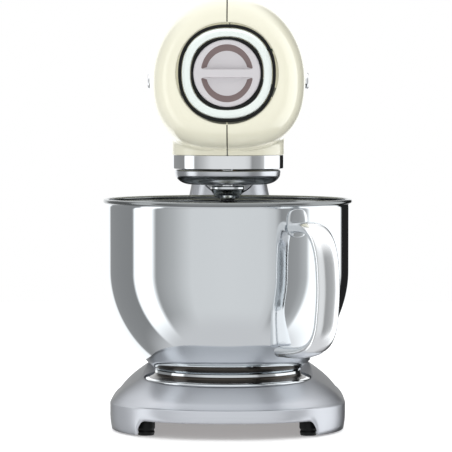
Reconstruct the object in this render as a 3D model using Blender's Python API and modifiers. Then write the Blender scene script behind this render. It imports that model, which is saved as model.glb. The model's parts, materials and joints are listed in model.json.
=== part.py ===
"""Tilt-head stand mixer: cast base and column, steel bowl, two-shell head with a worm-driven
planetary beater drive, a front power outlet, a speed lever and a tilt release.

All sizes are metres. Inside the script the bowl's axis is X = Y = 0 and the floor is Z = 0, with
the front of the mixer towards -Y. The last step centres the whole assembly on its footprint.
"""
import math

import bmesh
import bpy
import numpy as np
from mathutils import Matrix, Vector

GAP = 0.0003             # clearance between pieces that touch
RUN = 0.0010             # clearance between pieces that move past each other

# Driving sizes that other pieces are placed from
BOWL_RADIUS = 0.1056
HINGE_Y = BOWL_RADIUS + 0.0974        # the tilt hinge stands this far behind the bowl's axis
WELL_RADIUS = 0.0730                  # recess in the base for the bowl's foot

# Base casting
BASE_HALF_WIDTH = 0.1023
BASE_FRONT = 0.1040
BASE_REAR = HINGE_Y + 0.0780
BASE_CREASE_Z = 0.0253
BASE_TOP_Z = 0.0483      # top face beside the bowl's axis
BASE_TOP_HALF = WELL_RADIUS + 0.0015   # half-width and front reach of the top face
BASE_TILT = 0.0875       # fall of the top face towards the front
BASE_WALL = 0.0045
ARCH_HALF_WIDTH = BASE_HALF_WIDTH - 0.0248
ARCH_HEIGHT = 0.0125
FOOT_RADIUS = 0.0110
FOOT_HEIGHT = 0.0130
FOOT_X = BASE_HALF_WIDTH - 0.0363
FOOT_FRONT_Y = -0.0580
FOOT_REAR_X = FOOT_X - 0.0100
FOOT_REAR_Y = HINGE_Y + 0.0170

# Column casting
COLUMN_FOOT_HALF = BASE_TOP_HALF + 0.0025
COLUMN_TOP_HALF = 0.0310
COLUMN_TOP_Z = 0.2360
COLUMN_FRONT_FOOT_Y = HINGE_Y - 0.1080
COLUMN_FRONT_TOP_Y = HINGE_Y - 0.0770
COLUMN_REAR_FOOT_Y = HINGE_Y + 0.0620
COLUMN_REAR_TOP_Y = HINGE_Y + 0.0260
COLUMN_WALL = 0.0060
SADDLE_RADIUS = COLUMN_TOP_HALF - 0.0020
SADDLE_AXIS_Z = 0.2276
GLAND_RADIUS = 0.0060
GLAND_Z = 0.0580

# Tilt hinge
HINGE_Z = 0.2620
KNUCKLE_RADIUS = 0.0290
PIN_RADIUS = 0.0060
CHEEK_THICKNESS = 0.0040
CHASSIS_FLOOR = 0.0025

# Tilt latch, drawn withdrawn to just clear of its keeper
LATCH_Z = 0.2140
KEEPER_Y = HINGE_Y - 0.0350        # rear face of the keeper plate
BOLT_RADIUS = 0.0040
KNOB_RADIUS = 0.0085
KNOB_POCKET_Y = HINGE_Y + 0.0130
KNOB_END_Y = HINGE_Y + 0.0370

# Bowl
BOWL_RIM_RADIUS = BOWL_RADIUS + 0.0027
BOWL_RIM_Z = 0.1983
BOWL_RIM_ROLL = 0.0020   # radius of the rolled edge
BOWL_CURVE_Z = 0.1378    # where the wall leaves the vertical
BOWL_FLOOR_RADIUS = 0.0620
BOWL_SHOULDER = 0.0868   # radius where the curve of the wall turns under
BOWL_FLOOR_Z = 0.0520
BOWL_WALL = 0.0012
BOWL_FOOT_RADIUS = 0.0720
BOWL_FOOT_Z = 0.0418
HANDLE_ANGLE = math.radians(34.0)     # from straight ahead towards +X
HANDLE_REACH = BOWL_RADIUS + 0.0444
HANDLE_TOP_Z = 0.1795
HANDLE_LOW_Z = 0.0740
HANDLE_HALF_WIDTH = 0.0110
HANDLE_THICKNESS = 0.0100
PLATE_HALF_WIDTH = 0.0100
PLATE_THICKNESS = 0.0020

# Head shells
HEAD_HALF_WIDTH = 0.0670
HEAD_TOP_Z = 0.3785
HEAD_MID_Z = 0.3030
HEAD_BELLY_Z = 0.2387
HEAD_TAIL_Z = 0.3050     # height of the rounded rear end
HEAD_BELLY_POWER = 2.4   # a little flatter below than above
HEAD_WALL = 0.0030
HEAD_NOSE = 0.0780
HEAD_REAR = HINGE_Y + 0.0910
NECK_RADIUS = 0.0482
NECK_WALL = 0.0030
HEAD_SLOT_HALF = COLUMN_TOP_HALF + CHEEK_THICKNESS + 0.0012
HEAD_SLOT_FRONT_Y = HINGE_Y - 0.0420
HEAD_SLOT_REAR_Y = HINGE_Y + 0.0590

# Speed lever
LEVER_Y = 0.0300
LEVER_TRAVEL = 0.0500

# Front outlet
OUTLET_Z = 0.3085
CAP_RADIUS = 0.0285
INNER_GASKET_RADIUS = CAP_RADIUS + 0.0030
TRIM_RADIUS = INNER_GASKET_RADIUS + 0.0076
GASKET_RADIUS = TRIM_RADIUS + 0.0032
OUTLET_RADIUS = GASKET_RADIUS + 0.0017
CAP_BAR_HALF = 0.0032
COUPLER_RADIUS = 0.0116
COUPLER_SHAFT_RADIUS = 0.0045
SOCKET_HALF = 0.0055

# Planetary drive
HUB_RADIUS = NECK_RADIUS - 0.0022
HUB_TOP_Z = 0.2255
HUB_BOTTOM_Z = 0.2130
PLANET_Y = -0.0210
GEAR_MODULE = 0.0010
RING_TEETH = 60
PLANET_TEETH = 18
GEAR_FACE = 0.0070
GEAR_Z = 0.2325          # middle of the planetary gears
MAIN_SHAFT_RADIUS = 0.0050
BEATER_SHAFT_RADIUS = 0.0045

MAIN_BEARING = 0.0110
MAIN_BEARING_HEIGHTS = (("lower", 0.2420), ("upper", 0.2660))
MAIN_BEARING_WIDTH = 0.0070
OUTLET_BEARING = 0.0100
BEATER_BUSH_RADIUS = BEATER_SHAFT_RADIUS + 0.0030
BEATER_END_Z = 0.1850
DRIVE_PIN_Z = 0.1955
DRIVE_PIN_RADIUS = 0.0016
DRIVE_PIN_HALF = 0.0090
SPRING_TURNS = 2
SPRING_WIRE = 0.0005
SPRING_RADIUS = 0.0062

# Worm and motor
MOTOR_FRONT_Y = -0.0280  # front end of the motor shaft
WHEEL_TEETH = 30
WORM_PITCH_RADIUS = 0.0065
MOTOR_Z = 0.2800
MOTOR_SHAFT_RADIUS = 0.0040
MOTOR_SHAFT_LENGTH = 0.1666
MOTOR_BEARING = 0.0095
MOTOR_BEARING_WIDTH = 0.0060
ROTOR_RADIUS = 0.0180
ROTOR_FRONT, ROTOR_REAR = 0.0780, 0.1200          # distances behind the shaft's front end
COMMUTATOR_RADIUS = 0.0090
COMMUTATOR_FRONT, COMMUTATOR_REAR = 0.1240, 0.1360
FAN_FRONT, FAN_REAR = 0.0570, 0.0656
FAN_BLADES = 7
BACKLASH = 0.00035
MITRE_TEETH = 16
MITRE_RADIUS = 0.0120

TAU = 2.0 * math.pi
WORM_X = WHEEL_TEETH * GEAR_MODULE / 2 + WORM_PITCH_RADIUS


# ---------------------------------------------------------------- scene and materials
def clear_scene():
    for obj in list(bpy.data.objects):
        bpy.data.objects.remove(obj, do_unlink=True)


def collection(name):
    made = bpy.data.collections.new(name)
    bpy.context.scene.collection.children.link(made)
    return made


def material(name, colour, roughness, metallic=0.0):
    mat = bpy.data.materials.get(name)
    if mat is None:
        mat = bpy.data.materials.new(name)
        mat.use_nodes = True
        shader = mat.node_tree.nodes["Principled BSDF"]
        shader.inputs["Base Color"].default_value = (*colour, 1.0)
        shader.inputs["Roughness"].default_value = roughness
        shader.inputs["Metallic"].default_value = metallic
    return mat


def silver_paint():
    return material("silver_paint", (0.62, 0.64, 0.67), 0.38, 0.6)


def cream_enamel():
    return material("cream_enamel", (0.86, 0.83, 0.70), 0.22)


def polished_steel():
    return material("polished_steel", (0.72, 0.74, 0.76), 0.12, 1.0)


def chrome():
    return material("chrome", (0.82, 0.84, 0.85), 0.08, 1.0)


def black_rubber():
    return material("black_rubber", (0.02, 0.02, 0.02), 0.75)


def grey_plastic():
    return material("grey_plastic", (0.62, 0.60, 0.61), 0.4)


def machined_steel():
    return material("machined_steel", (0.5, 0.5, 0.52), 0.35, 1.0)


def cast_metal():
    return material("cast_metal", (0.55, 0.55, 0.56), 0.55, 0.9)


def nylon():
    return material("nylon", (0.82, 0.80, 0.74), 0.5)


def bronze():
    return material("bronze", (0.60, 0.42, 0.22), 0.4, 1.0)


def copper_winding():
    return material("copper_winding", (0.62, 0.28, 0.14), 0.4, 0.8)


def circuit_green():
    return material("circuit_green", (0.05, 0.22, 0.10), 0.5)


# ---------------------------------------------------------------- shape helpers
def add_object(name, mesh, mat, home):
    obj = bpy.data.objects.new(name, mesh)
    home.objects.link(obj)
    if mat is not None:
        mesh.materials.append(mat)
    return obj


def from_bmesh(name, bm, mat, home):
    mesh = bpy.data.meshes.new(name)
    bm.to_mesh(mesh)
    bm.free()
    return add_object(name, mesh, mat, home)


def smooth(obj):
    obj.data.shade_smooth()
    obj.data.set_sharp_from_angle(angle=math.radians(32))


def turned(name, profile, mat, home, steps=32):
    """A closed profile of (radius, height) points, run down its outer side, turned about local Z.
    A side that lies along the axis is left out."""
    mesh = bpy.data.meshes.new(name)
    points = [(radius, 0.0, height) for radius, height in profile]
    count = len(points)
    edges = [(i, (i + 1) % count) for i in range(count)
             if profile[i][0] > 0.0 or profile[(i + 1) % count][0] > 0.0]
    mesh.from_pydata(points, edges, [])
    obj = add_object(name, mesh, mat, home)
    screw = obj.modifiers.new("turn", "SCREW")
    screw.steps = steps
    screw.render_steps = steps
    screw.use_merge_vertices = True
    screw.merge_threshold = 0.00001
    screw.use_smooth_shade = True
    return obj


def cylinder(name, radius, low, high, mat, home, sides=32, top_radius=None):
    """A solid cylinder or cone between two heights on local Z."""
    bm = bmesh.new()
    bmesh.ops.create_cone(
        bm, cap_ends=True, segments=sides, radius1=radius,
        radius2=radius if top_radius is None else top_radius, depth=high - low,
        matrix=Matrix.Translation((0.0, 0.0, (low + high) / 2)),
    )
    return from_bmesh(name, bm, mat, home)


def box(name, low, high, mat, home, bevel=0.0):
    """A block between two corners, with rounded edges."""
    bm = bmesh.new()
    size = [b - a for a, b in zip(low, high)]
    centre = [(a + b) / 2 for a, b in zip(low, high)]
    bmesh.ops.create_cube(
        bm, size=1.0, matrix=Matrix.Translation(centre) @ Matrix.Diagonal((*size, 1.0)))
    obj = from_bmesh(name, bm, mat, home)
    if bevel > 0.0:
        add_bevel(obj, bevel)
    return obj


def add_bevel(obj, width, segments=2):
    rounded = obj.modifiers.new("bevel", "BEVEL")
    rounded.width = width
    rounded.segments = segments
    rounded.limit_method = "ANGLE"
    rounded.angle_limit = math.radians(40)


def outline(name, loops, thickness, mat, home):
    """A flat plate in local XY, centred on Z = 0; loops after the first are its holes."""
    curve = bpy.data.curves.new(name, "CURVE")
    curve.dimensions = "2D"
    curve.fill_mode = "BOTH"
    curve.extrude = thickness / 2
    for loop in loops:
        spline = curve.splines.new("POLY")
        spline.points.add(len(loop) - 1)
        for point, (x, y) in zip(spline.points, loop):
            point.co = (x, y, 0.0, 1.0)
        spline.use_cyclic_u = True
    obj = bpy.data.objects.new(name, curve)
    home.objects.link(obj)
    return as_mesh(obj, mat, home)


def as_mesh(curve_object, mat, home):
    """The curve object as a closed mesh object of the same name, caps welded."""
    name = curve_object.name
    bpy.context.view_layer.update()
    depsgraph = bpy.context.evaluated_depsgraph_get()
    mesh = bpy.data.meshes.new_from_object(curve_object.evaluated_get(depsgraph))
    bm = bmesh.new()
    bm.from_mesh(mesh)
    bmesh.ops.remove_doubles(bm, verts=bm.verts, dist=0.000002)
    bm.to_mesh(mesh)
    bm.free()
    matrix = curve_object.matrix_world.copy()
    curve = curve_object.data
    bpy.data.objects.remove(curve_object, do_unlink=True)
    bpy.data.curves.remove(curve)
    mesh.name = name
    mesh.materials.clear()
    made = add_object(name, mesh, mat, home)
    made.matrix_world = matrix
    return made


def wire(name, points, radius, mat, home, resolution=2):
    """A round wire along a list of points, with filled ends."""
    curve = bpy.data.curves.new(name, "CURVE")
    curve.dimensions = "3D"
    curve.bevel_depth = radius
    curve.bevel_resolution = resolution
    curve.use_fill_caps = True
    spline = curve.splines.new("POLY")
    spline.points.add(len(points) - 1)
    for point, place in zip(spline.points, points):
        point.co = (*place, 1.0)
    obj = bpy.data.objects.new(name, curve)
    home.objects.link(obj)
    return as_mesh(obj, mat, home)


def loft(name, rings, mat, home, cap_start=True, cap_end=True):
    """Skin over equal closed rings of points; a ring that shrinks to a point closes itself."""
    bm = bmesh.new()
    layers = [[bm.verts.new(point) for point in ring] for ring in rings]
    count = len(layers[0])
    for lower, upper in zip(layers, layers[1:]):
        for i in range(count):
            j = (i + 1) % count
            bm.faces.new((lower[i], lower[j], upper[j], upper[i]))
    if cap_start:
        bm.faces.new(list(reversed(layers[0])))
    if cap_end:
        bm.faces.new(layers[-1])
    bmesh.ops.remove_doubles(bm, verts=bm.verts, dist=0.000001)
    bmesh.ops.recalc_face_normals(bm, faces=bm.faces)
    return from_bmesh(name, bm, mat, home)


def boolean(obj, other, operation):
    """Cut another shape from an object, or join it on; the other shape is only a helper."""
    other.hide_render = True
    other.display_type = "WIRE"
    work = obj.modifiers.new(operation.lower(), "BOOLEAN")
    work.operation = operation
    work.solver = "EXACT"
    work.object = other


def superellipse(half_width, front, rear, exponent_front, exponent_rear, count):
    """Points round a closed curve whose front and rear halves have their own reach."""
    points = []
    for i in range(count):
        angle = TAU * i / count
        ahead = math.cos(angle)
        reach, power = (front, exponent_front) if ahead > 0 else (rear, exponent_rear)
        x = half_width * math.copysign(abs(math.sin(angle)) ** (2 / power), math.sin(angle))
        y = -reach * math.copysign(abs(ahead) ** (2 / power), ahead)
        points.append((x, y))
    return points


def bezier(ends, count):
    """Points of one cubic curve, each control point a tuple of any length."""
    t = np.linspace(0.0, 1.0, count)[:, None]
    first, second, third, last = np.array(ends, dtype=float)
    curve = (1 - t) ** 3 * first + 3 * t * (1 - t) ** 2 * second
    curve += 3 * t ** 2 * (1 - t) * third + t ** 3 * last
    return [tuple(float(v) for v in row) for row in curve]


def circle(radius, count):
    return [(radius * math.cos(TAU * i / count), radius * math.sin(TAU * i / count))
            for i in range(count)]


def stadium(radius, low, high, count=12):
    """A slot-shaped loop along local Y with round ends."""
    angles = [math.pi * i / count for i in range(count + 1)]
    end = [(radius * math.cos(a), high - radius + radius * math.sin(a)) for a in angles]
    return end + [(-x, low + high - y) for x, y in end]


def pivot(name, place, parent, home):
    """An empty on a joint's axis."""
    empty = bpy.data.objects.new(name, None)
    empty.empty_display_size = 0.02
    home.objects.link(empty)
    empty.location = place
    if parent is not None:
        empty.parent = parent
        empty.location = Vector(place) - world_place(parent)
    return empty


def world_place(obj):
    place = Vector((0.0, 0.0, 0.0))
    while obj is not None:
        place += obj.location
        obj = obj.parent
    return place


def hang(objects, parent):
    """Parent objects to an empty without moving them."""
    for obj in objects:
        obj.location = obj.location - world_place(parent)
        obj.parent = parent


# ---------------------------------------------------------------- gears
def involute_half_angle(radius, base):
    ratio = max(radius / base, 1.0)
    return math.sqrt(ratio * ratio - 1.0) - math.acos(1.0 / ratio)


def gear_loop(teeth, module, backlash, flank_points=3, internal=False):
    """Outline of a spur gear with 20 degree involute flanks."""
    pitch = teeth * module / 2
    base = pitch * math.cos(math.radians(20))
    if internal:
        inner, outer = pitch - 0.9 * module, pitch + 1.25 * module
    else:
        inner, outer = pitch - 1.25 * module, pitch + 0.95 * module
    slack = backlash / (2 * pitch)
    half_tooth = math.pi / (2 * teeth) + (slack if internal else -slack)
    lowest = max(inner, base)
    radii = [lowest + (outer - lowest) * i / (flank_points - 1) for i in range(flank_points)]
    if lowest > inner + 1e-6:
        radii.insert(0, inner)
    points = []
    for tooth in range(teeth):
        middle = TAU * tooth / teeth
        widths = [half_tooth + involute_half_angle(pitch, base) - involute_half_angle(r, base)
                  for r in radii]
        for radius, width in zip(radii, widths):
            points.append((radius, middle - width))
        for radius, width in zip(reversed(radii), reversed(widths)):
            points.append((radius, middle + width))
    return [(r * math.cos(a), r * math.sin(a)) for r, a in points]


def twist_about_z(obj, turn_per_metre):
    for vertex in obj.data.vertices:
        turned_by = Matrix.Rotation(vertex.co.z * turn_per_metre, 3, "Z")
        vertex.co = turned_by @ vertex.co


def mitre_gear(name, bore, mat, home):
    """A 45 degree bevel gear: its cone's tip at the origin, its back at Z = -MITRE_RADIUS."""
    face = 0.0045
    half = math.pi / (2 * MITRE_TEETH) - BACKLASH / (2 * MITRE_RADIUS)
    module = 2 * MITRE_RADIUS / MITRE_TEETH
    inner, outer = MITRE_RADIUS - 0.85 * module, MITRE_RADIUS + 0.65 * module
    large = []
    for tooth in range(MITRE_TEETH):
        middle = TAU * tooth / MITRE_TEETH
        for radius, share in ((inner, -1.45), (outer, -0.6), (outer, 0.6), (inner, 1.45)):
            large.append((radius, middle + share * half))
    rings = []
    for scale in (1.0, 1.0 - face / MITRE_RADIUS):
        ring = []
        for radius, angle in large:
            drop = MITRE_RADIUS - (radius - MITRE_RADIUS)
            ring.append((scale * radius * math.cos(angle), scale * radius * math.sin(angle),
                         -scale * drop))
        rings.append(ring)
    back_radius = inner * 0.98
    back = [(back_radius * math.cos(a), back_radius * math.sin(a), -MITRE_RADIUS - 0.0022)
            for _, a in large]
    gear = loft(name, [back] + rings, mat, home)
    drill = cylinder(name + "_bore", bore, -2 * MITRE_RADIUS, 0.0, None, HELPERS, sides=24)
    drill.parent = gear
    boolean(gear, drill, "DIFFERENCE")
    return gear


# ---------------------------------------------------------------- stand
def base_top(y, height, weight):
    """The top face is level behind the bowl's axis and falls towards the front."""
    return height + weight * BASE_TILT * min(y, 0.0)


def base_ring(half_width, front, rear, height, power_front, power_rear, count=40):
    weight = max(0.0, min(1.0, (height - BASE_CREASE_Z) / (BASE_TOP_Z - BASE_CREASE_Z)))
    return [(x, y, base_top(y, height, weight))
            for x, y in superellipse(half_width, front, rear, power_front, power_rear, count)]


def make_base():
    """Hollow casting: skirt, crease, sloping shoulder and a nearly flat top, open below."""
    fall = BASE_HALF_WIDTH - BASE_TOP_HALF
    rise = BASE_TOP_Z - BASE_CREASE_Z
    outer = [(0.0013, 0.0015), (0.0, 0.012), (0.0, BASE_CREASE_Z - 0.003), (0.0008, BASE_CREASE_Z)]
    for share, height in ((0.16, 0.24), (0.42, 0.56), (0.75, 0.80), (1.0, 1.0)):
        outer.append((fall * share, BASE_CREASE_Z + rise * height))
    rings = []
    for inset, height in outer:
        share = inset / fall
        rings.append(base_ring(BASE_HALF_WIDTH - inset, BASE_FRONT - inset * 1.06,
                               BASE_REAR - inset * 0.62, height, 2.25 - 0.25 * share,
                               3.0 - 0.2 * share))
    top = base_ring(BASE_TOP_HALF * 0.5, BASE_TOP_HALF * 0.5, BASE_REAR * 0.5, BASE_TOP_Z, 2.0, 2.8)
    shell = loft("base_casting", rings + [top], silver_paint(), PARTS)
    inner_rings = []
    for inset, height in outer:
        share = inset / fall
        low = -0.001 if height < 0.005 else height - BASE_WALL * (0.3 + 0.7 * share)
        inner_rings.append(base_ring(BASE_HALF_WIDTH - inset - BASE_WALL,
                                     BASE_FRONT - inset * 1.06 - BASE_WALL,
                                     BASE_REAR - inset * 0.62 - BASE_WALL, low,
                                     2.25 - 0.25 * share, 3.0 - 0.2 * share))
    hollow = loft("base_hollow", inner_rings, None, HELPERS)
    well_floor = BOWL_FOOT_Z - GAP
    core = cylinder("base_well_core", WELL_RADIUS + BASE_WALL, well_floor - BASE_WALL, 0.1,
                    None, HELPERS, sides=24)
    boolean(hollow, core, "DIFFERENCE")
    for label, x, y in foot_places():
        post = cylinder("base_post_" + label, FOOT_RADIUS + 0.001, FOOT_HEIGHT + GAP, 0.1,
                        None, HELPERS, sides=12)
        post.location = (x, y, 0.0)
        boolean(hollow, post, "DIFFERENCE")
    well = cylinder("base_well", WELL_RADIUS, well_floor, 0.1, None, HELPERS, sides=48)
    boolean(shell, hollow, "DIFFERENCE")
    boolean(shell, well, "DIFFERENCE")
    arch = outline("base_arch", [arch_loop()], BASE_FRONT, None, HELPERS)
    arch.location = (0.0, -BASE_FRONT, 0.0)
    arch.rotation_euler = (math.pi / 2, 0.0, 0.0)
    boolean(shell, arch, "DIFFERENCE")
    smooth(shell)
    return shell


def arch_loop():
    """Low arch with rounded shoulders that flares out where it meets the floor."""
    side = [(ARCH_HALF_WIDTH + 0.002, -0.004), (ARCH_HALF_WIDTH, 0.0015),
            (ARCH_HALF_WIDTH - 0.0035, ARCH_HEIGHT * 0.45),
            (ARCH_HALF_WIDTH - 0.0060, ARCH_HEIGHT * 0.82), (ARCH_HALF_WIDTH - 0.0105, ARCH_HEIGHT)]
    return side + [(-x, y) for x, y in reversed(side)]


def foot_places():
    return [("front_left", -FOOT_X, FOOT_FRONT_Y), ("front_right", FOOT_X, FOOT_FRONT_Y),
            ("rear_left", -FOOT_REAR_X, FOOT_REAR_Y), ("rear_right", FOOT_REAR_X, FOOT_REAR_Y)]


def make_feet():
    feet = []
    profile = [(0.0, FOOT_HEIGHT), (FOOT_RADIUS, FOOT_HEIGHT),
               (FOOT_RADIUS - 0.0008, 0.0008), (FOOT_RADIUS - 0.0018, 0.0), (0.0, 0.0)]
    for label, x, y in foot_places():
        foot = turned("foot_" + label, profile, black_rubber(), PARTS, steps=20)
        foot.location = (x, y, 0.0)
        feet.append(foot)
    return feet


def column_ring(height, front, rear, half_width, inset=0.0, count=28):
    middle = (front + rear) / 2
    reach = (rear - front) / 2 - inset
    return [(x, middle + y, height)
            for x, y in superellipse(half_width - inset, reach, reach, 3.2, 3.2, count)]


def column_stations():
    """Height, front, rear and half-width: the casting flares out at its foot."""
    foot = BASE_TOP_Z + GAP
    rows = [(foot, 0.0), (foot + 0.014, 0.0)]
    for share in (0.14, 0.26, 0.42, 0.60, 0.80, 1.0):
        rows.append((foot + (COLUMN_TOP_Z - foot) * share, share))
    stations = []
    for height, share in rows:
        waist = (1.0 - share) ** 1.35 if share > 0 else 1.0
        half = COLUMN_TOP_HALF + (COLUMN_FOOT_HALF - COLUMN_TOP_HALF) * waist
        front = COLUMN_FRONT_TOP_Y + (COLUMN_FRONT_FOOT_Y - COLUMN_FRONT_TOP_Y) * waist
        rear = COLUMN_REAR_TOP_Y + (COLUMN_REAR_FOOT_Y - COLUMN_REAR_TOP_Y) * (1.0 - share) ** 2.2
        stations.append((height, front, rear, half))
    return stations


def make_column():
    """Hollow column, screwed to the base, with the hinge knuckle on top."""
    stations = column_stations()
    column = loft("column", [column_ring(*row) for row in stations], silver_paint(), PARTS)
    inner = [column_ring(*row, inset=COLUMN_WALL) for row in stations[:-2]]
    inner[0] = [(x, y, z - 0.001) for x, y, z in inner[0]]
    hollow = loft("column_hollow", inner, None, HELPERS)
    loop = [(KNUCKLE_RADIUS * math.cos(a), KNUCKLE_RADIUS * math.sin(a))
            for a in (math.pi * i / 16 for i in range(17))]
    loop += [(-KNUCKLE_RADIUS, COLUMN_TOP_Z - HINGE_Z - 0.012),
             (KNUCKLE_RADIUS * 0.8, COLUMN_TOP_Z - HINGE_Z - 0.012)]
    knuckle = outline("column_knuckle", [loop], 2 * (COLUMN_TOP_HALF - 0.0004), None, HELPERS)
    knuckle.location = (0.0, HINGE_Y, HINGE_Z)
    knuckle.rotation_euler = (math.pi / 2, 0.0, math.pi / 2)
    bore = cylinder("column_pin_bore", PIN_RADIUS + 0.0015 + GAP, -0.05, 0.05, None, HELPERS, sides=24)
    bore.location = (0.0, HINGE_Y, HINGE_Z)
    bore.rotation_euler = (0.0, math.pi / 2, 0.0)
    saddle = cylinder("column_saddle", SADDLE_RADIUS, -0.1, RUN, None, HELPERS, sides=32)
    saddle.location = (0.0, KEEPER_Y, SADDLE_AXIS_Z)
    saddle.rotation_euler = (-math.pi / 2, 0.0, 0.0)
    lid = box("column_saddle_top", (-SADDLE_RADIUS, KEEPER_Y - 0.1, SADDLE_AXIS_Z),
              (SADDLE_RADIUS, KEEPER_Y + RUN, COLUMN_TOP_Z + 0.01), None, HELPERS)
    tunnel = turned("column_latch_tunnel", [
        (0.0, 0.1), (KNOB_RADIUS + RUN, 0.1), (KNOB_RADIUS + RUN, KNOB_POCKET_Y - KEEPER_Y),
        (BOLT_RADIUS + RUN, KNOB_POCKET_Y - KEEPER_Y), (BOLT_RADIUS + RUN, -0.001),
        (0.0, -0.001)], None, HELPERS, steps=24)
    tunnel.location = (0.0, KEEPER_Y, LATCH_Z)
    tunnel.rotation_euler = (-math.pi / 2, 0.0, 0.0)
    inlet = cylinder("column_cord_hole", GLAND_RADIUS + GAP, 0.20, 0.30, None, HELPERS, sides=20)
    inlet.location = (0.0, 0.0, GLAND_Z)
    inlet.rotation_euler = (-math.pi / 2, 0.0, 0.0)
    boolean(column, hollow, "DIFFERENCE")
    boolean(column, inlet, "DIFFERENCE")
    boolean(column, knuckle, "UNION")
    boolean(column, bore, "DIFFERENCE")
    boolean(column, saddle, "DIFFERENCE")
    boolean(column, lid, "DIFFERENCE")
    boolean(column, tunnel, "DIFFERENCE")
    smooth(column)
    return column


def make_hinge_parts():
    """Steel pin through the knuckle, in two bronze bushes."""
    half = COLUMN_TOP_HALF + CHEEK_THICKNESS + 0.0002
    pin = turned("hinge_pin", [
        (0.0, half), (PIN_RADIUS - 0.001, half), (PIN_RADIUS, half - 0.001),
        (PIN_RADIUS, 0.001 - half), (PIN_RADIUS - 0.001, -half), (0.0, -half)],
        machined_steel(), PARTS, steps=24)
    pin.location = (0.0, HINGE_Y, HINGE_Z)
    pin.rotation_euler = (0.0, math.pi / 2, 0.0)
    made = [pin]
    for side, sign in (("left", -1), ("right", 1)):
        inner, outer = PIN_RADIUS + GAP, PIN_RADIUS + 0.0015
        far = COLUMN_TOP_HALF - 0.0005
        near = far - 0.0180
        bush = turned("hinge_bush_" + side, [
            (outer, far), (outer, near), (inner, near), (inner, far)], bronze(), PARTS, steps=24)
        bush.location = (0.0, HINGE_Y, HINGE_Z)
        bush.rotation_euler = (0.0, sign * math.pi / 2, 0.0)
        made.append(bush)
    return made


def make_lock_plate():
    """Steel disc in the base's well; its three tabs hold down the lugs of the bowl's foot."""
    low = BOWL_FOOT_Z
    plate = turned("bowl_lock_plate", [
        (0.0, low + 0.0048), (0.0480, low + 0.0048), (0.0486, low + 0.0042), (0.0486, low),
        (0.0, low)], machined_steel(), PARTS, steps=48)
    for i in range(3):
        tab = box("lock_tab_%d" % i, (-0.0120, -0.0560, low + 0.0028), (0.0120, -0.0440, low + 0.0048),
                  None, HELPERS)
        tab.rotation_euler = (0.0, 0.0, TAU * i / 3)
        boolean(plate, tab, "UNION")
    return plate


def make_cord_gland():
    """Rubber bush in the rear foot of the column, where the supply lead goes in."""
    rear = column_stations()[1][2]
    gland = turned("cord_gland", [
        (GLAND_RADIUS + 0.002, 0.003), (GLAND_RADIUS + 0.002, 0.0), (GLAND_RADIUS, 0.0),
        (GLAND_RADIUS, -0.010), (0.0035, -0.010), (0.0035, 0.003)], black_rubber(), PARTS, steps=20)
    gland.location = (0.0, rear + GAP, GLAND_Z)
    gland.rotation_euler = (-math.pi / 2, 0.0, 0.0)
    return gland


def make_latch():
    """Spring plunger: a knob at the back of the column pulls the bolt out of the keeper."""
    bolt = turned("latch_bolt", [
        (0.0, 0.0460), (BOLT_RADIUS, 0.0460), (BOLT_RADIUS, 0.0015), (BOLT_RADIUS - 0.0015, 0.0),
        (0.0, 0.0)], machined_steel(), PARTS, steps=20)
    bolt.location = (0.0, KEEPER_Y + 0.0006, LATCH_Z)
    bolt.rotation_euler = (-math.pi / 2, 0.0, 0.0)
    knob = turned("release_knob", [
        (0.0, 0.0), (0.0060, -0.0006), (KNOB_RADIUS - 0.0006, -0.0024), (KNOB_RADIUS, -0.0050),
        (KNOB_RADIUS, -0.0170), (BOLT_RADIUS, -0.0176), (0.0, -0.0176)],
        chrome(), PARTS, steps=20)
    knob.location = (0.0, KNOB_END_Y, LATCH_Z)
    knob.rotation_euler = (-math.pi / 2, 0.0, 0.0)
    return [bolt, knob]


# ---------------------------------------------------------------- bowl
def bowl_side(clearance=0.0):
    """The outside of the bowl below its straight wall, as (radius, height), grown by a clearance."""
    return bezier([(BOWL_RADIUS + clearance, BOWL_CURVE_Z),
                   (BOWL_RADIUS + clearance, BOWL_CURVE_Z - 0.0343),
                   (BOWL_SHOULDER + clearance, BOWL_FLOOR_Z + 0.0182 - clearance),
                   (BOWL_FLOOR_RADIUS, BOWL_FLOOR_Z - clearance)], 8)


def make_bowl():
    """Spun steel bowl with a rolled rim and a flat floor."""
    rim_z, rim_r, roll, wall = BOWL_RIM_Z, BOWL_RIM_RADIUS, BOWL_RIM_ROLL, BOWL_WALL
    lower = bowl_side()
    rim = [(BOWL_RADIUS - wall + GAP, rim_z + 0.4 * roll), (rim_r - roll, rim_z + roll), (rim_r, rim_z),
           (rim_r - roll, rim_z - roll)]
    outer = [(BOWL_RADIUS, rim_z - roll - GAP)] + lower + [(0.0, BOWL_FLOOR_Z)]
    inner = [(0.0, BOWL_FLOOR_Z + wall), (BOWL_FLOOR_RADIUS - wall * 0.2, BOWL_FLOOR_Z + wall)]
    for (r0, z0), (r1, z1) in reversed(list(zip(lower[:-1], lower[1:]))):
        across = Vector((r1 - r0, z1 - z0)).normalized()
        inner.append((r0 + across.y * wall, z0 - across.x * wall))
    inner.append((BOWL_RADIUS - wall, rim_z - roll - GAP))
    return turned("bowl", rim + outer + inner, polished_steel(), PARTS, steps=40)


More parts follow.
